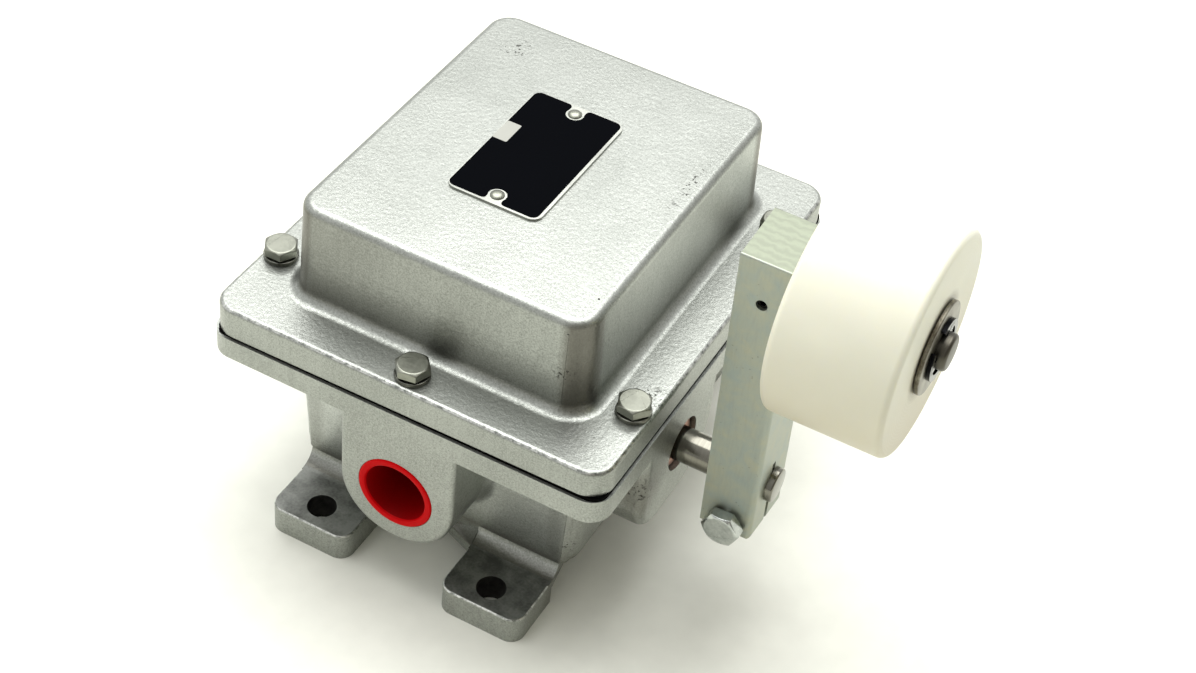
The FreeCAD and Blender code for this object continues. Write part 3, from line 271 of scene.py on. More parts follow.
def sand_cast_aluminium(name):
    """Sand cast and tumbled: a satin skin with a sandy grain and a faint orange peel, dull clouds, a few dark pits and
    chips at a few marked spots. The upright corners and the left end of the cover's walls are darker brown-grey.
    Painted shade in the same brown-grey lies at the foot of the cover's walls, in bands at the roots of the feet
    and on the side of the boss. Painted light brightens the end walls of the base under the flange and the right
    wall of the cover."""
    coat = Finish(name)
    casting = look().casting
    x, y, z = coat.split(coat.at)
    fold = coat.folded(coat.at)
    facing = coat.split(coat.normal)[2]

    peel = coat.noise(casting.peel / MM, 2.0, Roughness=0.5)
    sand = coat.noise(0.62, 3.0, Roughness=0.65)
    clouds = coat.noise(30, 5.0, Roughness=0.6)
    streaks = coat.noise(1.6, 3.0, coat.moved(coat.at, (1.0, 1.0, 0.05)))
    skin = coat.calc("MULTIPLY_ADD", streaks, 0.15, coat.calc("MULTIPLY_ADD", clouds, 0.4, sand))
    clean = coat.ramp(skin, (0.6, casting.dark), (0.95, casting.light))
    speck = coat.ramp(coat.noise(0.75, 0.0), (0.26, 0.2), (0.38, 0.0))
    speckled = coat.mix(speck, clean, linear("#5f605a"))

    # Painted light: the end walls of the base under the flange are brightened, lifting their shade
    end = coat.span(coat.split(fold)[1], 50 * MM, 75 * MM)
    wall = coat.ramp(end, (0.2, 0.0), (0.8, 0.0), (0.4, 0.7), (0.64, 0.7))
    rise = coat.span(z, 15 * MM, 80 * MM)
    under = coat.ramp(rise, (0.06, 0.0), (0.94, 0.0), (0.2, 1.0), (0.91, 1.0))
    shade = coat.mix(coat.calc("MULTIPLY", wall, under), speckled, (1.7, 1.7, 1.75), "MULTIPLY")

    # Pits and chips
    pits = add(coat.tree, "TexVoronoi", {"Vector": coat.at, "Scale": per_mm(7.5)})
    pit = coat.ramp((pits, "Distance"), (0.035, 1.0), (0.06, 0.0))
    spot = coat.calc("MULTIPLY", pit, coat.calc("GREATER_THAN", (pits, "Color"), 0.85))
    chip = coat.ramp(coat.noise(1.3, 2.0), (0.58, 0.0), (0.64, 1.0))
    for mark_x, mark_y, mark_z, reach, along in MARKS:
        squeeze = reach / along
        centred = coat.moved(coat.at, (1.0, squeeze, 1.0), (-mark_x * MM, -mark_y * MM * squeeze, -mark_z * MM))
        zone = coat.span(coat.distance(centred), 0.4 * reach * MM, reach * MM, 0.85, 0.0)
        spot = coat.calc("MAXIMUM", spot, coat.calc("MULTIPLY", zone, chip))

    # Brown-grey, darker on the upright corners and the left end of the cover's walls; painted shade at the foot
    # of the cover's walls, in bands at the roots of the feet and on the side of the boss
    corner = coat.moved(fold, (1.0, 1.0, 0.0), (-54.5 * MM, -64.5 * MM, 0.0))
    near = coat.span(coat.distance(corner), 6.0 * MM, 9.5 * MM, 0.65, 0.0)
    edged = coat.calc("MULTIPLY", near, coat.span(z, 70 * MM, 100 * MM, 0.45, 1.25))
    upright = coat.span(facing, 0.25, 0.7, 1.0, 0.0)
    # Painted shade at the foot of the cover's walls, halved on the right wall
    root = coat.ramp(coat.span(z, 90 * MM, 140 * MM), (0.1, 0.0), (0.16, 0.45), (0.3, 0.2), (0.5, 0.0))
    painted_root_shade = coat.calc("MULTIPLY", root, coat.span(x, 50 * MM, 56 * MM, 1.0, 0.5))
    clear = coat.span(z, 97.5 * MM, 102 * MM)
    left_end_and_root_shade = coat.calc("MULTIPLY_ADD", coat.span(x, 35 * MM, -50 * MM, 0.0, 0.36), clear, painted_root_shade)
    walls = coat.calc("MULTIPLY", coat.calc("MAXIMUM", edged, left_end_and_root_shade), upright)
    # Painted shade in bands at the roots of the feet: dark at the foot tops, then a lighter band and a dark line above
    painted_toe_bands = coat.ramp(coat.span(z, 10 * MM, 25 * MM), (0.05, 0.0), (0.8, 0.0), (0.09, 0.8), (0.2, 0.45), (0.33, 0.1),
                    (0.5, 0.5), (0.6, 0.2))
    # Painted shade on the side of the boss
    boss = coat.moved(coat.at, location=(-76 * MM, 54 * MM, -57 * MM))
    painted_boss_shade = coat.span(coat.distance(boss), 6 * MM, 17 * MM, 0.6, 0.0)
    # Brown-grey mixed in: darker tone on corners and walls, painted shade at the roots and on the boss
    stain = coat.calc("MAXIMUM", walls, coat.calc("MAXIMUM", painted_toe_bands, painted_boss_shade))
    stained_and_shaded = coat.mix(stain, shade, casting.stain)

    # Painted light: the right wall of the cover is brightened
    right = coat.span(x, 52 * MM, 56 * MM)
    for share in (coat.span(y, -50 * MM, 40 * MM, 0.2, 1.0), clear, upright):
        right = coat.calc("MULTIPLY", right, share)
    right_wall_brightened = coat.mix(right, stained_and_shaded, (1.28, 1.29, 1.31), "MULTIPLY")
    tone = coat.mix(spot, right_wall_brightened, linear("#34332f"))

    relief = coat.calc("MULTIPLY_ADD", sand, 0.45, peel)
    pitted = coat.calc("MULTIPLY_ADD", spot, -1.5, relief)
    return coat.done(tone, coat.span(skin, 0.55, 1.0, 0.44, 0.34), Metallic=0.95,
                     Normal=coat.bump(pitted, 0.8, casting.depth))


def rolled_metal(name, light, dark, grain, rough, depth=0.03, cloud=14.0, metallic=1.0):
    """Rolled, headed or plated metal: two close tones in clouds, with a fine grain in its gloss."""
    coat = Finish(name)
    clouds, fine = coat.noise(cloud, 4.0), coat.noise(grain, 3.0)
    tone = coat.ramp(coat.calc("MULTIPLY_ADD", fine, 0.4, clouds), (0.55, dark), (0.85, light))
    return coat.done(tone, coat.span(fine, 0.0, 1.0, rough - 0.08, rough + 0.08), Metallic=metallic,
                     Normal=coat.bump(fine, 0.4, depth * MM))


def plated_bar(name):
    """Zinc on rolled bar: grey green with clouds of bluish and straw tarnish, fine dark specks and a drawn grain."""
    coat = Finish(name)
    zinc = Vector(look().steel.zinc)
    bluish, straw = zinc * Vector((0.88, 0.95, 1.03)), zinc * Vector((1.06, 1.02, 0.94))
    tint = coat.ramp(coat.noise(6, 5.0, Roughness=0.65, Distortion=0.6), (0.32, bluish), (0.68, straw))
    grain = coat.noise(0.8, 3.0, coat.moved(coat.at, (1.0, 1.0, 0.12)))
    shade = coat.mix(coat.ramp(grain, (0.3, 0.16), (0.55, 0.0)), tint, zinc * 0.55)
    tone = coat.mix(coat.ramp(coat.noise(1.2, 1.0), (0.2, 0.4), (0.27, 0.0)), shade, linear("#4d5049"))
    return coat.done(tone, coat.span(grain, 0.0, 1.0, 0.36, 0.52), Metallic=0.85,
                     Normal=coat.bump(grain, 0.4, 0.04 * MM))


def sawn_zinc():
    """A sawn end under zinc: wavy ripples across the bar, 3.2 mm apart, that catch the light."""
    coat = Finish("sawn zinc plated steel")
    ripple = coat.waves(3.2, coat.at, {"Distortion": 5.0, "Detail": 4.0, "Detail Scale": 3.0}, bands_direction="Y")
    tone = coat.ramp(ripple, (0.0, linear("#868b7c")), (1.0, linear("#8e9483")))
    return coat.done(tone, 0.55, Metallic=0.85, Normal=coat.bump(ripple, 0.4, 0.04 * MM))


def ground_bar(name, colour, rough=0.22):
    """Ground steel or turned bronze: smooth, with rings from the tool along the X axis."""
    coat = Finish(name)
    rings = coat.noise(0.5, 3.0, coat.moved(coat.at, (1.0, 0.02, 0.02)))
    tone = coat.mix(rings, colour, dimmed(colour, 0.7))
    return coat.done(tone, coat.span(rings, 0.0, 1.0, rough - 0.06, rough + 0.08), Metallic=1.0)


def moulded(name, colour, rough, grain=1.0, specular=0.5):
    """A moulded or printed skin: even colour with a faint cloud and a fine grain."""
    coat = Finish(name)
    skin = coat.noise(grain, 3.0)
    tone = coat.mix(coat.noise(12, 3.0), colour, dimmed(colour, 0.88))
    return coat.done(tone, coat.span(skin, 0.0, 1.0, rough - 0.05, rough + 0.07),
                     Normal=coat.bump(skin, 0.3, 0.02 * MM), **{"Specular IOR Level": specular})


def turned_nylon(centre):
    """Nylon bar turned on a lathe: milky and slightly see-through, with fine rings about its own axis. Painted shade
    makes it yellower and darker on its underside and puts a brown ring round the washer."""
    coat = Finish("turned nylon")
    colour = look().plastic.roller
    middle = coat.moved(coat.at, location=-Vector(centre))
    rings = coat.waves(1.1, middle, {"Distortion": 0.6, "Detail": 2.0}, wave_type="RINGS", rings_direction="X")
    clean = coat.mix(coat.noise(18, 3.0), colour, dimmed(colour, 0.9))
    # Painted shade: yellower and darker towards the underside
    painted_underside_shade = coat.span(coat.split(middle)[2], -36 * MM, 16 * MM, 0.85, 0.0)
    side = coat.mix(painted_underside_shade, clean, linear("#c3b9a0"))
    # Painted shade: a brown ring on the face round the washer
    away = coat.distance(coat.moved(middle, (0.0, 1.0, 1.0)))
    tone = coat.mix(coat.span(away, 15 * MM, 19.5 * MM, 0.6, 0.0), side, linear("#7a6f5c"))
    return coat.done(tone, coat.span(rings, 0.0, 1.0, 0.38, 0.46), Normal=coat.bump(rings, 0.25, 0.02 * MM),
                     **{"Subsurface Weight": 0.35, "Subsurface Radius": (0.006, 0.005, 0.003)})


def kept(name, maker, *args):
    """A material by name, made on first use."""
    return bpy.data.materials.get(name) or maker(name, *args)


def cast_metal():
    """Skin of both castings."""
    return kept("sand cast aluminium", sand_cast_aluminium)


def foot_top_shade_metal():
    """Foot tops: cast metal darkened as painted shade, with long smears."""
    colour = look().casting.foot_top_shade
    return kept("dirty cast aluminium", rolled_metal, colour, dimmed(colour, 0.5), 0.9, 0.45, 0.1, 8.0, 0.9)


def edge_highlight_metal():
    """Painted highlight: the rounded edges of the castings are coloured bright, in patches."""
    return kept("rubbed cast aluminium", rolled_metal, linear("#d4d6d0"), linear("#7f827d"), 0.7, 0.3, 0.06, 2.2)


def hole_shade_metal():
    """Walls of the foot holes: drilled, and nearly black as painted shade in the holes."""
    return kept("oily drilled aluminium", rolled_metal, linear("#3a3936"), linear("#1e1d1b"), 0.8, 0.5, 0.05, 4.0, 0.6)


def bolt_metal():
    """Cold headed stainless steel of the cover bolts: satin grey."""
    colour = look().steel.bolt
    return kept("cold headed stainless steel", rolled_metal, colour, dimmed(colour, 0.8), 1.1, 0.34, 0.02, 5.0)


def zinc_metal():
    """Plated bar of the lever, and the plated steel inside."""
    return kept("zinc plated rolled steel", plated_bar)


def shaded_washer_metal():
    """Pressed steel washer: dull and darkened to brownish as painted shade for its rim."""
    return kept("pressed steel", rolled_metal, linear("#8b887c"), linear("#5d574b"), 0.8, 0.36, 0.03, 6.0)


def shaded_lock_washer_metal():
    """Spring steel of the lock washers: dull grey and darker than the bolts, as painted shade round the bolt heads."""
    return kept("oiled spring steel", rolled_metal, linear("#7a7b72"), linear("#4b4c46"), 0.8, 0.34, 0.03, 6.0)


def bright_zinc():
    """Fresh bright zinc on a fastener: bluish and shiny."""
    return kept("bright zinc plated steel", rolled_metal, linear("#c6cac6"), linear("#a9aeaa"), 0.9, 0.15, 0.02, 4.0)


def shaft_metal():
    """Ground steel of the shaft and its ring."""
    return kept("ground steel", ground_bar, look().steel.shaft, 0.14)


def bronze_metal():
    """Turned bronze of the two bushes."""
    return kept("turned bronze", ground_bar, look().steel.bronze, 0.3)


# Modelling

def only(piece):
    """Makes this the one selected and active object."""
    bpy.ops.object.select_all(action="DESELECT")
    piece.select_set(True)
    bpy.context.view_layer.objects.active = piece


def fixed(piece):
    """Applies the place, turn and scale of a piece to its mesh."""
    only(piece)
    bpy.ops.object.transform_apply(location=True, rotation=True, scale=True)
    return piece


def modify(piece, kind, **settings):
    """Adds a modifier with its settings and applies it."""
    only(piece)
    bpy.ops.object.modifier_add(type=kind)
    made = piece.modifiers[-1]
    for key, value in settings.items():
        setattr(made, key, value)
    bpy.ops.object.modifier_apply(modifier=made.name)


def carve(piece, tool, operation="DIFFERENCE"):
    """Cuts, joins or keeps what is common with a tool piece, which is used up."""
    size = piece.dimensions.copy()
    modify(piece, "BOOLEAN", operation=operation, object=tool, solver="EXACT")
    bpy.context.view_layer.update()
    if min(piece.dimensions) < 1e-5 or operation == "UNION" and min(piece.dimensions - size) < -1e-5:
        raise RuntimeError(f"{operation} with {tool.name} lost a part of {piece.name}")
    bpy.data.objects.remove(tool)
    return piece


def break_edges(piece, width, segments=2, angle=30):
    """Rounds the sharp edges, then smooths the shading."""
    modify(piece, "BEVEL", width=width * MM, segments=segments, limit_method="ANGLE",
           angle_limit=math.radians(angle), use_clamp_overlap=True)
    only(piece)
    bpy.ops.object.shade_smooth_by_angle(angle=math.radians(40))


def even_shading(piece):
    """Lets the large flat faces lead the shading of the rounded edges between them."""
    modify(piece, "WEIGHTED_NORMAL", keep_sharp=True, weight=80)


def copy_of_node(node):
    """A loose copy of a CAD node with its triangles merged to one skin of large faces."""
    only(frame["nodes"][node])
    bpy.ops.object.duplicate(linked=False)
    piece = bpy.context.object
    bpy.ops.object.parent_clear(type="CLEAR_KEEP_TRANSFORM")
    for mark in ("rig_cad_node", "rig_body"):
        del piece[mark]
    bpy.ops.object.mode_set(mode="EDIT")
    bpy.ops.mesh.select_all(action="SELECT")
    bpy.ops.mesh.remove_doubles(threshold=1e-6)
    bpy.ops.mesh.select_all(action="SELECT")
    bpy.ops.mesh.dissolve_limited(angle_limit=math.radians(0.5))
    bpy.ops.object.mode_set(mode="OBJECT")
    return piece


def twin(piece):
    """A copy of a piece with its own mesh."""
    only(piece)
    bpy.ops.object.duplicate(linked=False)
    return bpy.context.object


def slab(low, high):
    """A block between two corners in mm, to be shaped further."""
    low, high = Vector(low), Vector(high)
    bpy.ops.object.select_all(action="DESELECT")
    bpy.ops.mesh.primitive_cube_add(size=1, location=(low + high) / 2 * MM)
    piece = bpy.context.object
    piece.scale = (high - low) * MM
    return fixed(piece)


def rod(radius, low, high, sides=64, at=(0, 0)):
    """A round or many-sided bar along Z in mm, to be shaped further."""
    bpy.ops.object.select_all(action="DESELECT")
    bpy.ops.mesh.primitive_cylinder_add(vertices=sides, radius=radius * MM, depth=(high - low) * MM,
                                        location=(at[0] * MM, at[1] * MM, (low + high) / 2 * MM))
    return fixed(bpy.context.object)


def pick(piece, kind, test):
    """Opens a piece for editing, with the edges or faces selected that pass a test."""
    only(piece)
    bpy.ops.object.mode_set(mode="EDIT")
    bpy.ops.mesh.select_mode(type=kind)
    bpy.ops.mesh.select_all(action="DESELECT")
    mesh = bmesh.from_edit_mesh(piece.data)
    for part in mesh.edges if kind == "EDGE" else mesh.faces:
        part.select_set(test(part))
    bmesh.update_edit_mesh(piece.data)


def bevel_where(piece, width, segments, test):
    """Bevels the edges that stand between two turned faces and whose two ends (mm) pass a test."""
    pick(piece, "EDGE", lambda edge: edge.calc_face_angle(0) > 0.2 and test(*(vert.co / MM for vert in edge.verts)))
    bpy.ops.mesh.bevel(offset=width * MM, segments=segments, affect="EDGES")
    bpy.ops.object.mode_set(mode="OBJECT")
    return piece


def stands_up(one, other):
    """Whether an edge runs along Z."""
    return abs(one.z - other.z) > 0.01 and (one - other).xy.length < 0.01


def spun(profile, steps=96):
    """A piece turned about Z: profile holds (radius, height) in mm, extruded point by point and spun."""
    start = Vector((profile[0][0], 0, profile[0][1])) * MM
    bpy.ops.object.select_all(action="DESELECT")
    bpy.ops.mesh.primitive_plane_add(size=MM, location=start)
    piece = fixed(bpy.context.object)
    bpy.ops.object.mode_set(mode="EDIT")
    bpy.ops.mesh.select_mode(type="VERT")
    bpy.ops.mesh.select_all(action="SELECT")
    bpy.ops.mesh.merge(type="CENTER")
    for (r0, z0), (r1, z1) in zip(profile, profile[1:]):
        bpy.ops.mesh.extrude_vertices_move(TRANSFORM_OT_translate={"value": ((r1 - r0) * MM, 0, (z1 - z0) * MM)})
    bpy.ops.mesh.select_all(action="SELECT")
    bpy.ops.mesh.spin(steps=steps, angle=2 * math.pi, center=(0, 0, 0), axis=(0, 0, 1))
    bpy.ops.mesh.select_all(action="SELECT")
    bpy.ops.mesh.remove_doubles(threshold=1e-7)
    bpy.ops.mesh.select_all(action="SELECT")
    bpy.ops.mesh.normals_make_consistent(inside=False)
    bpy.ops.object.mode_set(mode="OBJECT")
    only(piece)
    bpy.ops.object.shade_smooth_by_angle(angle=math.radians(32))
    return piece


def round_over(radius, height, size, parts=6, start=0):
    """Points of a quarter round at the outer rim of a turned profile; start 0 is the low rim, 90 the high one."""
    turns = [math.radians(start + 90 * part / parts) for part in range(parts + 1)]
    if start:
        return [(radius - size + size * math.sin(turn), height - size - size * math.cos(turn)) for turn in turns]
    return [(radius - size + size * math.sin(turn), height + size - size * math.cos(turn)) for turn in turns]


def set_down(piece, at=(0, 0, 0), along="Z", turn=0.0, tilt=0.0):
    """Turns a piece made along Z to lie along X or -Y, spins it on its own axis, and puts it in place (mm)."""
    lie = {"Z": Matrix.Identity(4), "X": Matrix.Rotation(math.pi / 2, 4, "Y"),
           "-Y": Matrix.Rotation(math.pi / 2, 4, "X")}[along]
    piece.matrix_world = (Matrix.Translation(Vector(at) * MM) @ Matrix.Rotation(math.radians(tilt), 4, "X")
                          @ lie @ Matrix.Rotation(math.radians(turn), 4, "Z"))
    return fixed(piece)


def extent(node):
    """Lowest corner, highest corner and middle of a CAD node in mm."""
    low, high = (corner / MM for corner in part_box(node))
    return low, high, (low + high) / 2


def finish(piece, name, coat, slot, *nodes, body="housing"):
    """Names a finished piece, coats it, ties it to its body and hides the nodes it stands for."""
    piece.name = piece.data.name = name
    piece.data.materials.clear()
    piece.data.materials.append(coat)
    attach(piece, body)
    if nodes:
        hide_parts(*nodes)
    return piece


def coat_faces(piece, coat, test):
    """Gives a second material to the faces whose middle (mm) and normal pass a test."""
    piece.data.materials.append(coat)
    pick(piece, "FACE", lambda face: test(face.calc_center_median() / MM, face.normal))
    piece.active_material_index = len(piece.data.materials) - 1
    bpy.ops.object.material_slot_assign()
    bpy.ops.object.mode_set(mode="OBJECT")


def dress(coat, *nodes):
    """Gives CAD nodes that stay as they are a material."""
    for node in nodes:
        for slot in frame["nodes"][node].material_slots:
            slot.material = coat


# Pieces

def parting_seam(start, end, width=0.7):
    """A thin ridge of flash that the mould left between two points in mm."""
    start, end = Vector(start), Vector(end)
    ridge = slab((-width / 2, -width / 2, 0), (width / 2, width / 2, (end - start).length))
    bevel_where(ridge, 0.2 * width, 2, stands_up)
    turn = (end - start).to_track_quat("Z", "Y").to_matrix().to_4x4()
    ridge.matrix_world = Matrix.Translation(start * MM) @ turn
    return fixed(ridge)


# Walls of the base in mm: half their distance across, and the height where they meet the flange
WALL_Y, WALL_TOP = 65.0, 75.3
# Length of the joint between base and cover along X in mm
JOINT = 152


def drafted_block(low, high, draft):
    """A block whose outer faces lean in below the top of the walls, as the walls of the base do."""
    block = slab(low, high)
    for vert in block.data.vertices:
        lean = (WALL_TOP * MM - vert.co.z) * math.tan(math.radians(draft))
        vert.co.x -= math.copysign(lean, vert.co.x)
        vert.co.y -= math.copysign(lean, vert.co.y)
    return block


class SWITCH_OT_castings(bpy.types.Operator):
    """Base and cover with a cast skin and mould seams, and the gasket between them"""
    bl_idname = "switch.castings"
    bl_label = "Base and cover castings"

    # Lean of the walls in degrees
    DRAFT = 2.8
    # Both ends of the seam on the rear right corner in mm; the front one mirrors it
    SEAMS = {"base_casting": ((55.2, 64.75, 74.0), (52.6, 62.1, 20.0)),
             "cover_casting": ((49.05, 69.3, 101.5), (48.75, 68.2, 131.0))}
    # How far the top of the base and the underside of the cover fall towards -X in mm
    FALLS = (1.0, 1.55)
    # Outer parts of the flanges in mm: what lies further out along X or Y is their rim
    RIM_X, RIM_Y = 74, 86
    # Corner posts in mm: inner and outer face along X, inner face along Y
    POST_IN, POST_OUT, POST_Y = 46, 57, 52
    # Skirts in mm: half the length, inner face along Y, lower and upper edge
    SKIRT, SKIRT_Y, SKIRT_LOW, SKIRT_HIGH = 53, 60, 6.5, 22
    # A foot hole in mm: distance from the middle along X and Y, and a radius round its wall
    HOLE_X, HOLE_Y, HOLE = 35.5, 80.6, 5.6

    def foot_root(self, x, y):
        """A wedge that runs out from the inner side of a foot to the wall."""
        root = slab((4, 59, 6.5), (19.3, 67.5, 18.5))
        for vert in root.data.vertices:
            at = vert.co / MM
            inner, outer, upper = at.x < 5, at.y > 60, at.z > 10
            if inner and outer:
                at.y = 61.4
            if upper and (inner or outer):
                at.z = 12 if inner and not outer else 11.5
            vert.co = Vector((at.x * x, at.y * y, at.z)) * MM
        only(root)
        bpy.ops.object.mode_set(mode="EDIT")
        bpy.ops.mesh.select_all(action="SELECT")
        bpy.ops.mesh.normals_make_consistent(inside=False)
        bpy.ops.object.mode_set(mode="OBJECT")
        return root

    def fill_out(self, base):
        """Gives the base its tight upright corners and the skirts that run down between its feet."""
        wall = WALL_Y - 0.05
        for y in (-1, 1):
            front, back = sorted((self.SKIRT_Y * y, wall * y))
            skirt = drafted_block((-self.SKIRT, front, self.SKIRT_LOW), (self.SKIRT, back, self.SKIRT_HIGH), self.DRAFT)
            bevel_where(skirt, 10, 6, lambda one, other: max(one.z, other.z) < self.SKIRT_LOW + 0.5
                        and abs(one.x - other.x) < 1)
            carve(base, skirt, "UNION")
            for x in (-1, 1):
                left, right = sorted((self.POST_IN * x, self.POST_OUT * x))
                front, back = sorted((self.POST_Y * y, wall * y))
                post = drafted_block((left, front, 17), (right, back, 76), self.DRAFT)
                bevel_where(post, 10.5, 1, lambda one, other: abs(one.z - other.z) > 9
                            and max(abs(one.x), abs(other.x)) < self.POST_IN + 1
                            and max(abs(one.y), abs(other.y)) < self.POST_Y + 1)
                bevel_where(post, 3, 5, lambda one, other: abs(one.z - other.z) > 9
                            and min(abs(one.x), abs(other.x)) > self.POST_OUT - 4
                            and min(abs(one.y), abs(other.y)) > WALL_Y - 4)
                carve(base, post, "UNION")
                carve(base, self.foot_root(x, y), "UNION")
        slope = math.tan(math.radians(self.DRAFT))
        bevel_where(base, 4, 4, lambda one, other: all(
            abs(at.x) < 22.7 and 24 < at.z < WALL_TOP + 0.1 and at.y < -60
            and abs(at.y + WALL_Y - (WALL_TOP - at.z) * slope) < 0.08 for at in (one, other))
            and min(one.z, other.z) < WALL_TOP - 0.3)

    def settle(self, piece):
        """Lowers both planes of the joint towards -X, where the flanges sit closest together."""
        for plane, fall in zip(extent("cover_gasket"), self.FALLS):
            for vert in piece.data.vertices:
                if abs(vert.co.z / MM - plane.z) < 0.1:
                    vert.co.z -= fall * (0.5 * MM - vert.co.x / JOINT)

    def execute(self, context):
        for node, (start, end) in self.SEAMS.items():
            piece = copy_of_node(node)
            self.settle(piece)
            if node == "base_casting":
                self.fill_out(piece)
            break_edges(piece, look().casting.edge / MM, 3, 35)
            seams = [parting_seam((start[0], y * start[1], start[2]), (end[0], y * end[1], end[2])) for y in (-1, 1)]
            only(piece)
            for seam in seams:
                seam.select_set(True)
            bpy.ops.object.join()
            even_shading(piece)
            finish(piece, node + "_skin", cast_metal(), "cast_aluminium", node)
            # Painted highlight on the rounded upper edges of the cover flange and of the feet
            coat_faces(piece, edge_highlight_metal(), lambda at, normal: 0.25 < normal.z < 0.93
                       and (96 < at.z < 96.8 and max(abs(at.x) - self.RIM_X, abs(at.y) - self.RIM_Y) > 0
                            if node == "cover_casting" else 10.4 < at.z < 11.5 and abs(at.y) > WALL_Y + 1))
            if node == "base_casting":
                # Painted shade: the foot tops get a darker metal
                coat_faces(piece, foot_top_shade_metal(), lambda at, normal: normal.z > 0.95 and at.z < 14 and abs(at.y) > 64)
                # Painted shade: the walls of the foot holes get a nearly black metal
                coat_faces(piece, hole_shade_metal(), lambda at, normal: abs(normal.z) < 0.3 and at.z < 12
                           and math.hypot(abs(at.x) - self.HOLE_X, abs(at.y) - self.HOLE_Y) < self.HOLE)
        rubber = moulded("moulded gasket rubber", look().casting.gasket, 0.75, specular=0.04)
        gasket = copy_of_node("cover_gasket")
        self.settle(gasket)
        for vert in gasket.data.vertices:
            x, y = vert.co.x / MM, vert.co.y / MM
            if y < -self.RIM_Y:
                vert.co.y += 0.2 * MM * (0.5 - x / JOINT)
            if x < -self.RIM_X:
                vert.co.x += 0.7 * MM
        break_edges(gasket, 0.12)
        finish(gasket, "cover_gasket_frame", rubber, "gasket_rubber", "cover_gasket")
        dress(rubber, "shaft_seal")
        return {"FINISHED"}


def hex_bolt(flats, head, shank_radius, shank):
    """A hexagon bolt along Z, its seat at zero: a six sided prism cut by a chamfer cone, on a round washer face
    and a round shank."""
    crown, face, undercut = 0.455 * flats, 0.4 * flats, 0.8
    bolt = rod(flats / math.sqrt(3), undercut, head, 6)
    bpy.ops.object.select_all(action="DESELECT")
    bpy.ops.mesh.primitive_cone_add(vertices=96, radius1=(crown + head * math.sqrt(3)) * MM, radius2=crown * MM,
                                    depth=head * MM, location=(0, 0, head / 2 * MM))
    carve(bolt, bpy.context.object, "INTERSECT")
    carve(bolt, rod(face, 0, head / 2), "UNION")
    carve(bolt, rod(shank_radius, -shank, head / 2, 48), "UNION")
    break_edges(bolt, 0.16, 2, 25)
    even_shading(bolt)
    return bolt


class SWITCH_OT_cover_bolts(bpy.types.Operator):
    """Hexagon bolts and split lock washers of the cover"""
    bl_idname = "switch.cover_bolts"
    bl_label = "Cover bolts and lock washers"

    # Size across the flats, radius of the shank, bore and radius of the lock washer in mm
    FLATS, SHANK, BORE, WASHER = 11.11, 3.1, 3.4, 6.2
    # X and Y in mm and turn in degrees of each bolt
    PLACES = ((-69.4, -55.5, 31), (69.4, -55.5, 22), (69.4, 55.5, 3), (-69.4, 55.5, 45), (0, -81, -20), (0, 81, 50))

    def execute(self, context):
        low, high = extent("cover_bolts")[:2]
        face, seat = (corner.z for corner in extent("cover_lock_washers")[:2])
        bolt = hex_bolt(self.FLATS, high.z - seat, self.SHANK, seat - low.z)
        rim, thick = self.WASHER - 0.2, seat - face
        ring = spun([(self.BORE, 0), (rim, 0), (self.WASHER, 0.2), (self.WASHER, thick - 0.2), (rim, thick),
                     (self.BORE, thick), (self.BORE, 0)], steps=64)
        carve(ring, slab((0, -0.4, -1), (9, 0.4, 3)))
        break_edges(ring, 0.1)
        for number, (x, y, turn) in enumerate(self.PLACES, 1):
            finish(set_down(twin(bolt), (x, y, seat), turn=turn), f"cover_bolt_{number}", bolt_metal(),
                   "stainless_steel", "cover_bolts")
            # The lock washers get a darker steel as painted shade
            finish(set_down(twin(ring), (x, y, face), turn=90 + turn), f"lock_washer_{number}", shaded_lock_washer_metal(),
                   "stainless_steel", "cover_lock_washers")
        bpy.data.objects.remove(bolt)
        bpy.data.objects.remove(ring)
        return {"FINISHED"}


class SWITCH_OT_plug(bpy.types.Operator):
    """Cup-shaped plug in the conduit hub"""
    bl_idname = "switch.plug"
    bl_label = "Conduit plug"

    def execute(self, context):
        low, high, middle = extent("conduit_plug")
        outer = (high.x - low.x) / 2
        deep = high.y - low.y
        plug = spun([(0, -deep), (outer - 1.4, -deep), (outer - 1.2, -deep + 0.6), *round_over(outer, 0, 0.8, 4, 90),
                     (outer - 2.0, 0), (outer - 2.5, -0.2), (outer - 2.9, -0.8), (outer - 4.2, 2 - deep),
                     (0, 2 - deep)])
        set_down(plug, (middle.x, low.y, middle.z), along="-Y")
        colour = look().plastic.plug
        red = moulded("moulded polyethylene", colour, 0.4, 0.8, 0.05)
        finish(plug, "conduit_plug_cup", red, "plug_plastic", "conduit_plug")
        # Painted shade: the inside of the cup gets a darker red
        painted_shade_red = moulded("moulded polyethylene with painted shade inside", dimmed(colour, 0.45), 0.5, 0.8, 0.05)
        coat_faces(plug, painted_shade_red, lambda at, normal: at.y > low.y + 1.6
                   and (at - middle).xz.length < outer - 1 and normal.xz.dot((at - middle).xz) <= 0.001)
        return {"FINISHED"}


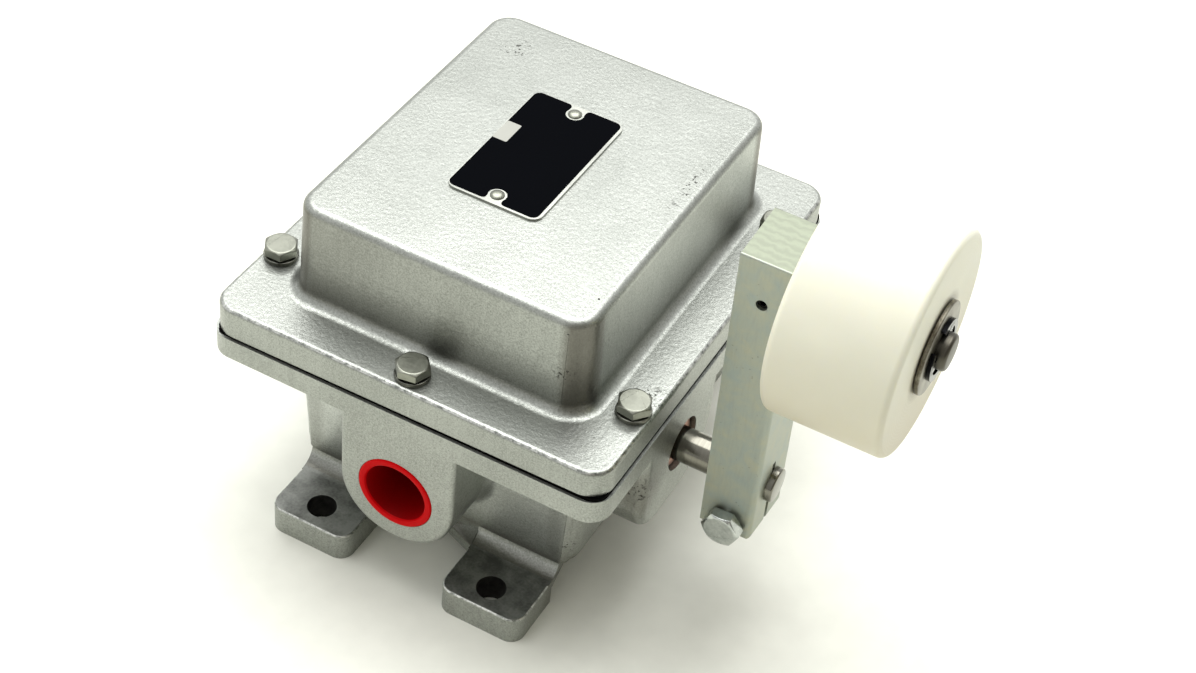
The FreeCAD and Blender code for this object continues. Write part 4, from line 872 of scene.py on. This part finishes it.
class SWITCH_OT_plate(bpy.types.Operator):
    """Bare printed plate with two rivets"""
    bl_idname = "switch.plate"
    bl_label = "Plate and rivets"

    def execute(self, context):
        silver = rolled_metal("etched plate aluminium", linear("#b4b6ae"), linear("#a0a29b"), 0.6, 0.4)
        plate = copy_of_node("name_plate")
        break_edges(plate, 0.2)
        even_shading(plate)
        finish(plate, "plate_sheet", silver, "plate_enamel", "name_plate")
        low, high, middle = extent("name_plate")
        first, last, between = extent("plate_rivets")
        pad, ear = 3.3, 3.0
        reach = (last.x - first.x) / 2
        rivets = [(between.x, first.y + reach), (between.x, last.y - reach)]

        field = slab((low.x + 0.4, low.y + 0.9, high.z - 0.1), (high.x - 1.1, high.y - 0.4, high.z + 0.06))
        bevel_where(field, 2.6, 6, stands_up)
        for x, y in rivets:
            front, back = sorted((y, y + math.copysign(8, y)))
            carve(field, rod(pad, high.z - 1, high.z + 1, 48, (x, y)))
            carve(field, slab((x - ear, front, high.z - 1), (x + ear, back, high.z + 1)))
        bevel_where(field, 1.6, 5, lambda one, other: stands_up(one, other)
                    and abs(abs(one.x - between.x) - ear) < 0.05 and abs(one.y - middle.y) > 29)
        enamel = moulded("printed plate enamel", look().plastic.enamel, 0.4, 0.5, 0.01)
        finish(field, "plate_field", enamel, "plate_enamel")
        window = slab((low.x + 0.45, -0.9, high.z), (low.x + 6.0, 10.0, high.z + 0.09))
        bevel_where(window, 0.5, 3, stands_up)
        finish(window, "plate_window", moulded("printed white ink", look().plastic.window, 0.5, 0.6), "plate_enamel")

        rise = last.z - high.z
        dome = spun([(0, -0.7), (1.1, -0.7), (1.1, 0), (2.55, 0), (2.5, 0.25 * rise), (2.1, 0.62 * rise),
                     (1.3, 0.9 * rise), (0.5, rise), (0, rise)], steps=48)
        bpy.ops.object.shade_smooth_by_angle(angle=math.radians(60))
        for number, (x, y) in enumerate(rivets, 1):
            finish(set_down(twin(dome), (x, y, high.z)), f"plate_rivet_{number}", bolt_metal(), "stainless_steel",
                   "plate_rivets")
        bpy.data.objects.remove(dome)
        return {"FINISHED"}


def grooved_bar(node, ring, nose):
    """A ground bar along X with a groove for its ring and a rounded outer end."""
    low, high, middle = extent(node)
    near, far = extent(ring)[:2]
    radius = (high.y - low.y) / 2
    start, end, length = near.x - 0.05 - low.x, far.x + 0.05 - low.x, high.x - low.x
    bar = spun([(0, 0), (radius - 0.5, 0), (radius, 0.5), (radius, start), (radius - 0.7, start), (radius - 0.7, end),
                (radius, end), *round_over(radius, length, nose, 5, 90), (0, length)])
    return set_down(bar, (low.x, middle.y, middle.z), along="X")


def turned_ring(node, bore, soft, centre):
    """A ring along X, as wide as its CAD node, with softened outer rims."""
    low, high = extent(node)[:2]
    outer, width = (high.y - low.y) / 2, high.x - low.x
    ring = spun([(bore + 0.3, 0), *round_over(outer, 0, soft, 5), *round_over(outer, width, soft, 5, 90),
                 (bore + 0.3, width), (bore, width - 0.3), (bore, 0.3), (bore + 0.3, 0)])
    return set_down(ring, (low.x, centre.y, centre.z), along="X")


class SWITCH_OT_shaft(bpy.types.Operator):
    """Shaft, bushes and the pieces on the shaft inside"""
    bl_idname = "switch.shaft"
    bl_label = "Shaft and bushes"

    def execute(self, context):
        middle = extent("shaft")[2]
        finish(grooved_bar("shaft", "shaft_retaining_ring", 0.7), "shaft_bar", shaft_metal(), "ground_steel", "shaft",
               body="lever")
        finish(turned_ring("outer_bush", 6.4, 0.3, middle), "outer_bush_ring", bronze_metal(), "bronze", "outer_bush")
        dress(shaft_metal(), "shaft_retaining_ring")
        dress(bronze_metal(), "inner_bush")
        dress(zinc_metal(), "first_cam", "second_cam", "spring_collar", "shaft_set_screws", "switch_bracket",
              "bracket_screws", "switch_screws", "ground_screw")
        dress(ground_bar("drawn spring steel", linear("#8b8a86")), "return_spring")
        dress(moulded("moulded phenolic", linear("#1d1a18"), 0.45), "first_switch", "second_switch")
        dress(moulded("moulded acetal", linear("#7a1f1c"), 0.35), "first_switch_plunger", "second_switch_plunger")
        dress(ground_bar("stamped brass", linear("#b8975a"), 0.3), "terminal_screws")
        return {"FINISHED"}


class SWITCH_OT_lever(bpy.types.Operator):
    """Lever bar with its clamp bolt and set screw"""
    bl_idname = "switch.lever"
    bl_label = "Lever"

    # Lean of the lever at rest in degrees, and how much lower its sawn end is at the rear in mm
    LEAN, SAG = 2.75, 3.7
    # Rounding of the outer edges in mm: at the front and below, and at the rear
    FRONT, REAR = 2.2, 1.0
    # Clamp bolt in mm: size across the flats, height of the head, radius of the shank, place of the seat
    FLATS, HEAD, SHANK, SEAT = 12.7, 5.3, 3.1, 4.8
    # Turn of the clamp bolt in degrees
    TURN = 34

    def round_outside(self, bar):
        """Saws the lower end slightly askew, then rounds the outer edges by what is common with a rounded block."""
        axis = extent("shaft")[2]
        axis.x = 0
        level = Matrix.Rotation(math.radians(-self.LEAN), 4, "X")
        flat = [level @ (vert.co / MM - axis) for vert in bar.data.vertices]
        low, high = (Vector([pick(at[n] for at in flat) for n in range(3)]) for pick in (min, max))

        def askew(at):
            """A place at the lower end after the slanting cut."""
            return at - Vector((0, 0, self.SAG * (at.y - low.y) / (high.y - low.y)))

        for vert, at in zip(bar.data.vertices, flat):
            if at.z < low.z + 1:
                vert.co = (level.inverted() @ askew(at) + axis) * MM
        block = slab((low.x - 1, low.y, low.z - 0.05), (high.x, high.y, high.z + 1))
        for vert in block.data.vertices:
            if vert.co.z < 0:
                vert.co = askew(vert.co / MM) * MM
        bevel_where(block, self.FRONT, 5, lambda one, other: min(one.x, other.x) > high.x - 0.1
                    and (max(one.z, other.z) < low.z or max(one.y, other.y) < low.y + 0.1))
        bevel_where(block, self.REAR, 4, lambda one, other: min(one.x, other.x) > high.x - 0.1
                    and min(one.y, other.y) > high.y - 0.1 and abs(one.z - other.z) > 20)
        carve(bar, set_down(block, axis, tilt=self.LEAN), "INTERSECT")

    def execute(self, context):
        bar = copy_of_node("lever_arm")
        far = extent("lever_arm")[1]
        self.round_outside(bar)
        break_edges(bar, 0.5)
        even_shading(bar)
        finish(bar, "lever_bar", zinc_metal(), "zinc_plate", "lever_arm", body="lever")
        coat_faces(bar, sawn_zinc(), lambda at, normal: normal.z > 0.97 and at.z > far.z - 3)
        low, high, middle = extent("clamp_bolt")
        bolt = hex_bolt(self.FLATS, self.HEAD, self.SHANK, high.y - low.y - self.SEAT - 0.1)
        set_down(bolt, (middle.x, low.y + self.SEAT, middle.z + 0.35), along="-Y", turn=self.TURN, tilt=self.LEAN)
        finish(bolt, "clamp_bolt_hexagon", bright_zinc(), "zinc_plate", "clamp_bolt", body="lever")
        dress(ground_bar("blackened steel", linear("#2a2926"), 0.4), "axle_set_screw")
        return {"FINISHED"}


def spring_clip(radius, groove, thickness, mouth):
    """An open clip about Z with three inner lugs, its mouth towards +X."""
    clip = spun([(0.78 * radius, 0), (radius, 0), (radius, thickness), (0.78 * radius, thickness), (0.78 * radius, 0)])
    for turn in (180, 62, -62):
        lug = slab((groove - 0.6, -2.2, 0), (0.85 * radius, 2.2, thickness))
        carve(clip, set_down(lug, turn=turn), "UNION")
    carve(clip, rod(groove, -1, thickness + 1))
    carve(clip, slab((0, -mouth / 2, -1), (2 * radius, mouth / 2, thickness + 1)))
    break_edges(clip, 0.22)
    return clip


class SWITCH_OT_roller(bpy.types.Operator):
    """Roller with its axle, washers and clip"""
    bl_idname = "switch.roller"
    bl_label = "Roller"

    # Bores of the roller and of its washers, radius of the clip's groove and width of its mouth in mm
    BORE, WASHER_BORE, GROOVE, MOUTH = 6.4, 6.7, 5.7, 7.0
    # Turn of the clip's mouth in degrees
    CLIP_TURN = 220.75

    def execute(self, context):
        middle = extent("roller_axle")[2]
        nylon = turned_nylon(middle * MM)
        finish(turned_ring("roller", self.BORE, 2.4, middle), "roller_wheel", nylon, "nylon", "roller", body="roller")
        oily = ground_bar("oily ground steel", linear("#605d54"), 0.36)
        finish(grooved_bar("roller_axle", "axle_clip", 1.3), "roller_axle_bar", oily, "ground_steel", "roller_axle",
               body="lever")
        for node in ("inner_axle_washer", "outer_axle_washer"):
            ring = turned_ring(node, self.WASHER_BORE, 0.35, middle)
            # Painted shade: the washers get a darkened brownish steel
            finish(ring, node + "_ring", shaded_washer_metal(), "zinc_plate", node, body="lever")
        low, high = extent("axle_clip")[:2]
        clip = spring_clip((high.y - low.y) / 2, self.GROOVE, high.x - low.x, self.MOUTH)
        set_down(clip, (low.x, middle.y, middle.z), along="X", turn=self.CLIP_TURN)
        black = ground_bar("blackened spring steel", look().steel.clip, 0.16)
        finish(clip, "axle_clip_open", black, "spring_steel", "axle_clip", body="lever")
        return {"FINISHED"}


class SWITCH_OT_stage(bpy.types.Operator):
    """Pale floor, soft light and camera"""
    bl_idname = "switch.stage"
    bl_label = "Stage"

    # Sizes of the floor and the lamp and the height that the lamp faces, in metres
    FLOOR, LAMP, TARGET = 8.0, (1.5, 1.3), 0.08
    # Direction of the dim side of the room
    DIM = (0.9, -0.43, 0.0)

    def execute(self, context):
        stage = look().stage
        scene = context.scene
        bpy.ops.object.select_all(action="DESELECT")
        bpy.ops.mesh.primitive_plane_add(size=self.FLOOR, location=(0, 0, 0))
        floor = context.object
        floor.name = "floor"
        paper = moulded("pale paper", stage.floor, 0.8, 4.0)
        floor.data.materials.append(paper)

        bpy.ops.object.light_add(type="AREA", location=stage.lamp)
        key = context.object
        key.name = "key_light"
        key.data.shape = "RECTANGLE"
        key.data.size, key.data.size_y = self.LAMP
        key.data.energy = stage.key
        key.rotation_euler = (Vector((0, 0, self.TARGET)) - key.location).to_track_quat("-Z", "Y").to_euler()

        world = bpy.data.worlds.new("studio")
        scene.world = world
        world.use_nodes = True
        tree = world.node_tree
        tree.nodes.clear()
        place = add(tree, "TexCoord")
        aside = add(tree, "VectorMath", {0: (place, "Generated"), 1: self.DIM}, operation="DOT_PRODUCT")
        room = add(tree, "ValToRGB", {"Fac": (aside, "Value")}, ((0.0, 1.0), (0.65, stage.dim)))
        glow = add(tree, "Background", {"Color": (room, "Color"), "Strength": stage.sky})
        add(tree, "OutputWorld", {"Surface": (glow, "Background")})

        bpy.ops.object.camera_add(location=stage.eye)
        camera = context.object
        right, forward = Vector(stage.side).normalized(), Vector(stage.aim).normalized()
        turn = Matrix((right, right.cross(forward), -forward)).transposed()
        camera.rotation_euler = turn.to_euler()
        camera.data.lens = stage.lens
        camera.data.sensor_width = 36.0
        scene.camera = camera
        scene.view_settings.view_transform = "Standard"
        return {"FINISHED"}


PIECES = (SWITCH_OT_castings, SWITCH_OT_cover_bolts, SWITCH_OT_plug, SWITCH_OT_plate, SWITCH_OT_shaft,
          SWITCH_OT_lever, SWITCH_OT_roller, SWITCH_OT_stage)


class SWITCH_PT_pieces(bpy.types.Panel):
    """Lists the pieces of the switch and their settings"""
    bl_label = "Position switch"
    bl_idname = "SWITCH_PT_pieces"
    bl_space_type = "VIEW_3D"
    bl_region_type = "UI"
    bl_category = "Switch"

    def draw(self, context):
        settings = context.scene.switch_look
        for group in (settings.casting, settings.steel, settings.plastic, settings.stage):
            box = self.layout.box()
            for name in group.__annotations__:
                box.prop(group, name)
        for piece in PIECES:
            self.layout.operator(piece.bl_idname)


CLASSES = (SwitchCastingLook, SwitchSteelLook, SwitchPlasticLook, SwitchStageLook, SwitchLook, *PIECES,
           SWITCH_PT_pieces)


def register():
    """Makes the settings, operators and panel known."""
    for made in CLASSES:
        bpy.utils.register_class(made)
    bpy.types.Scene.switch_look = PointerProperty(type=SwitchLook)


def unregister():
    """Takes them away again."""
    del bpy.types.Scene.switch_look
    for made in reversed(CLASSES):
        bpy.utils.unregister_class(made)


def main():
    """Builds every piece and the stage."""
    register()
    for piece in PIECES:
        group, name = piece.bl_idname.split(".")
        getattr(getattr(bpy.ops, group), name)()


if __name__ == "__main__":
    main()
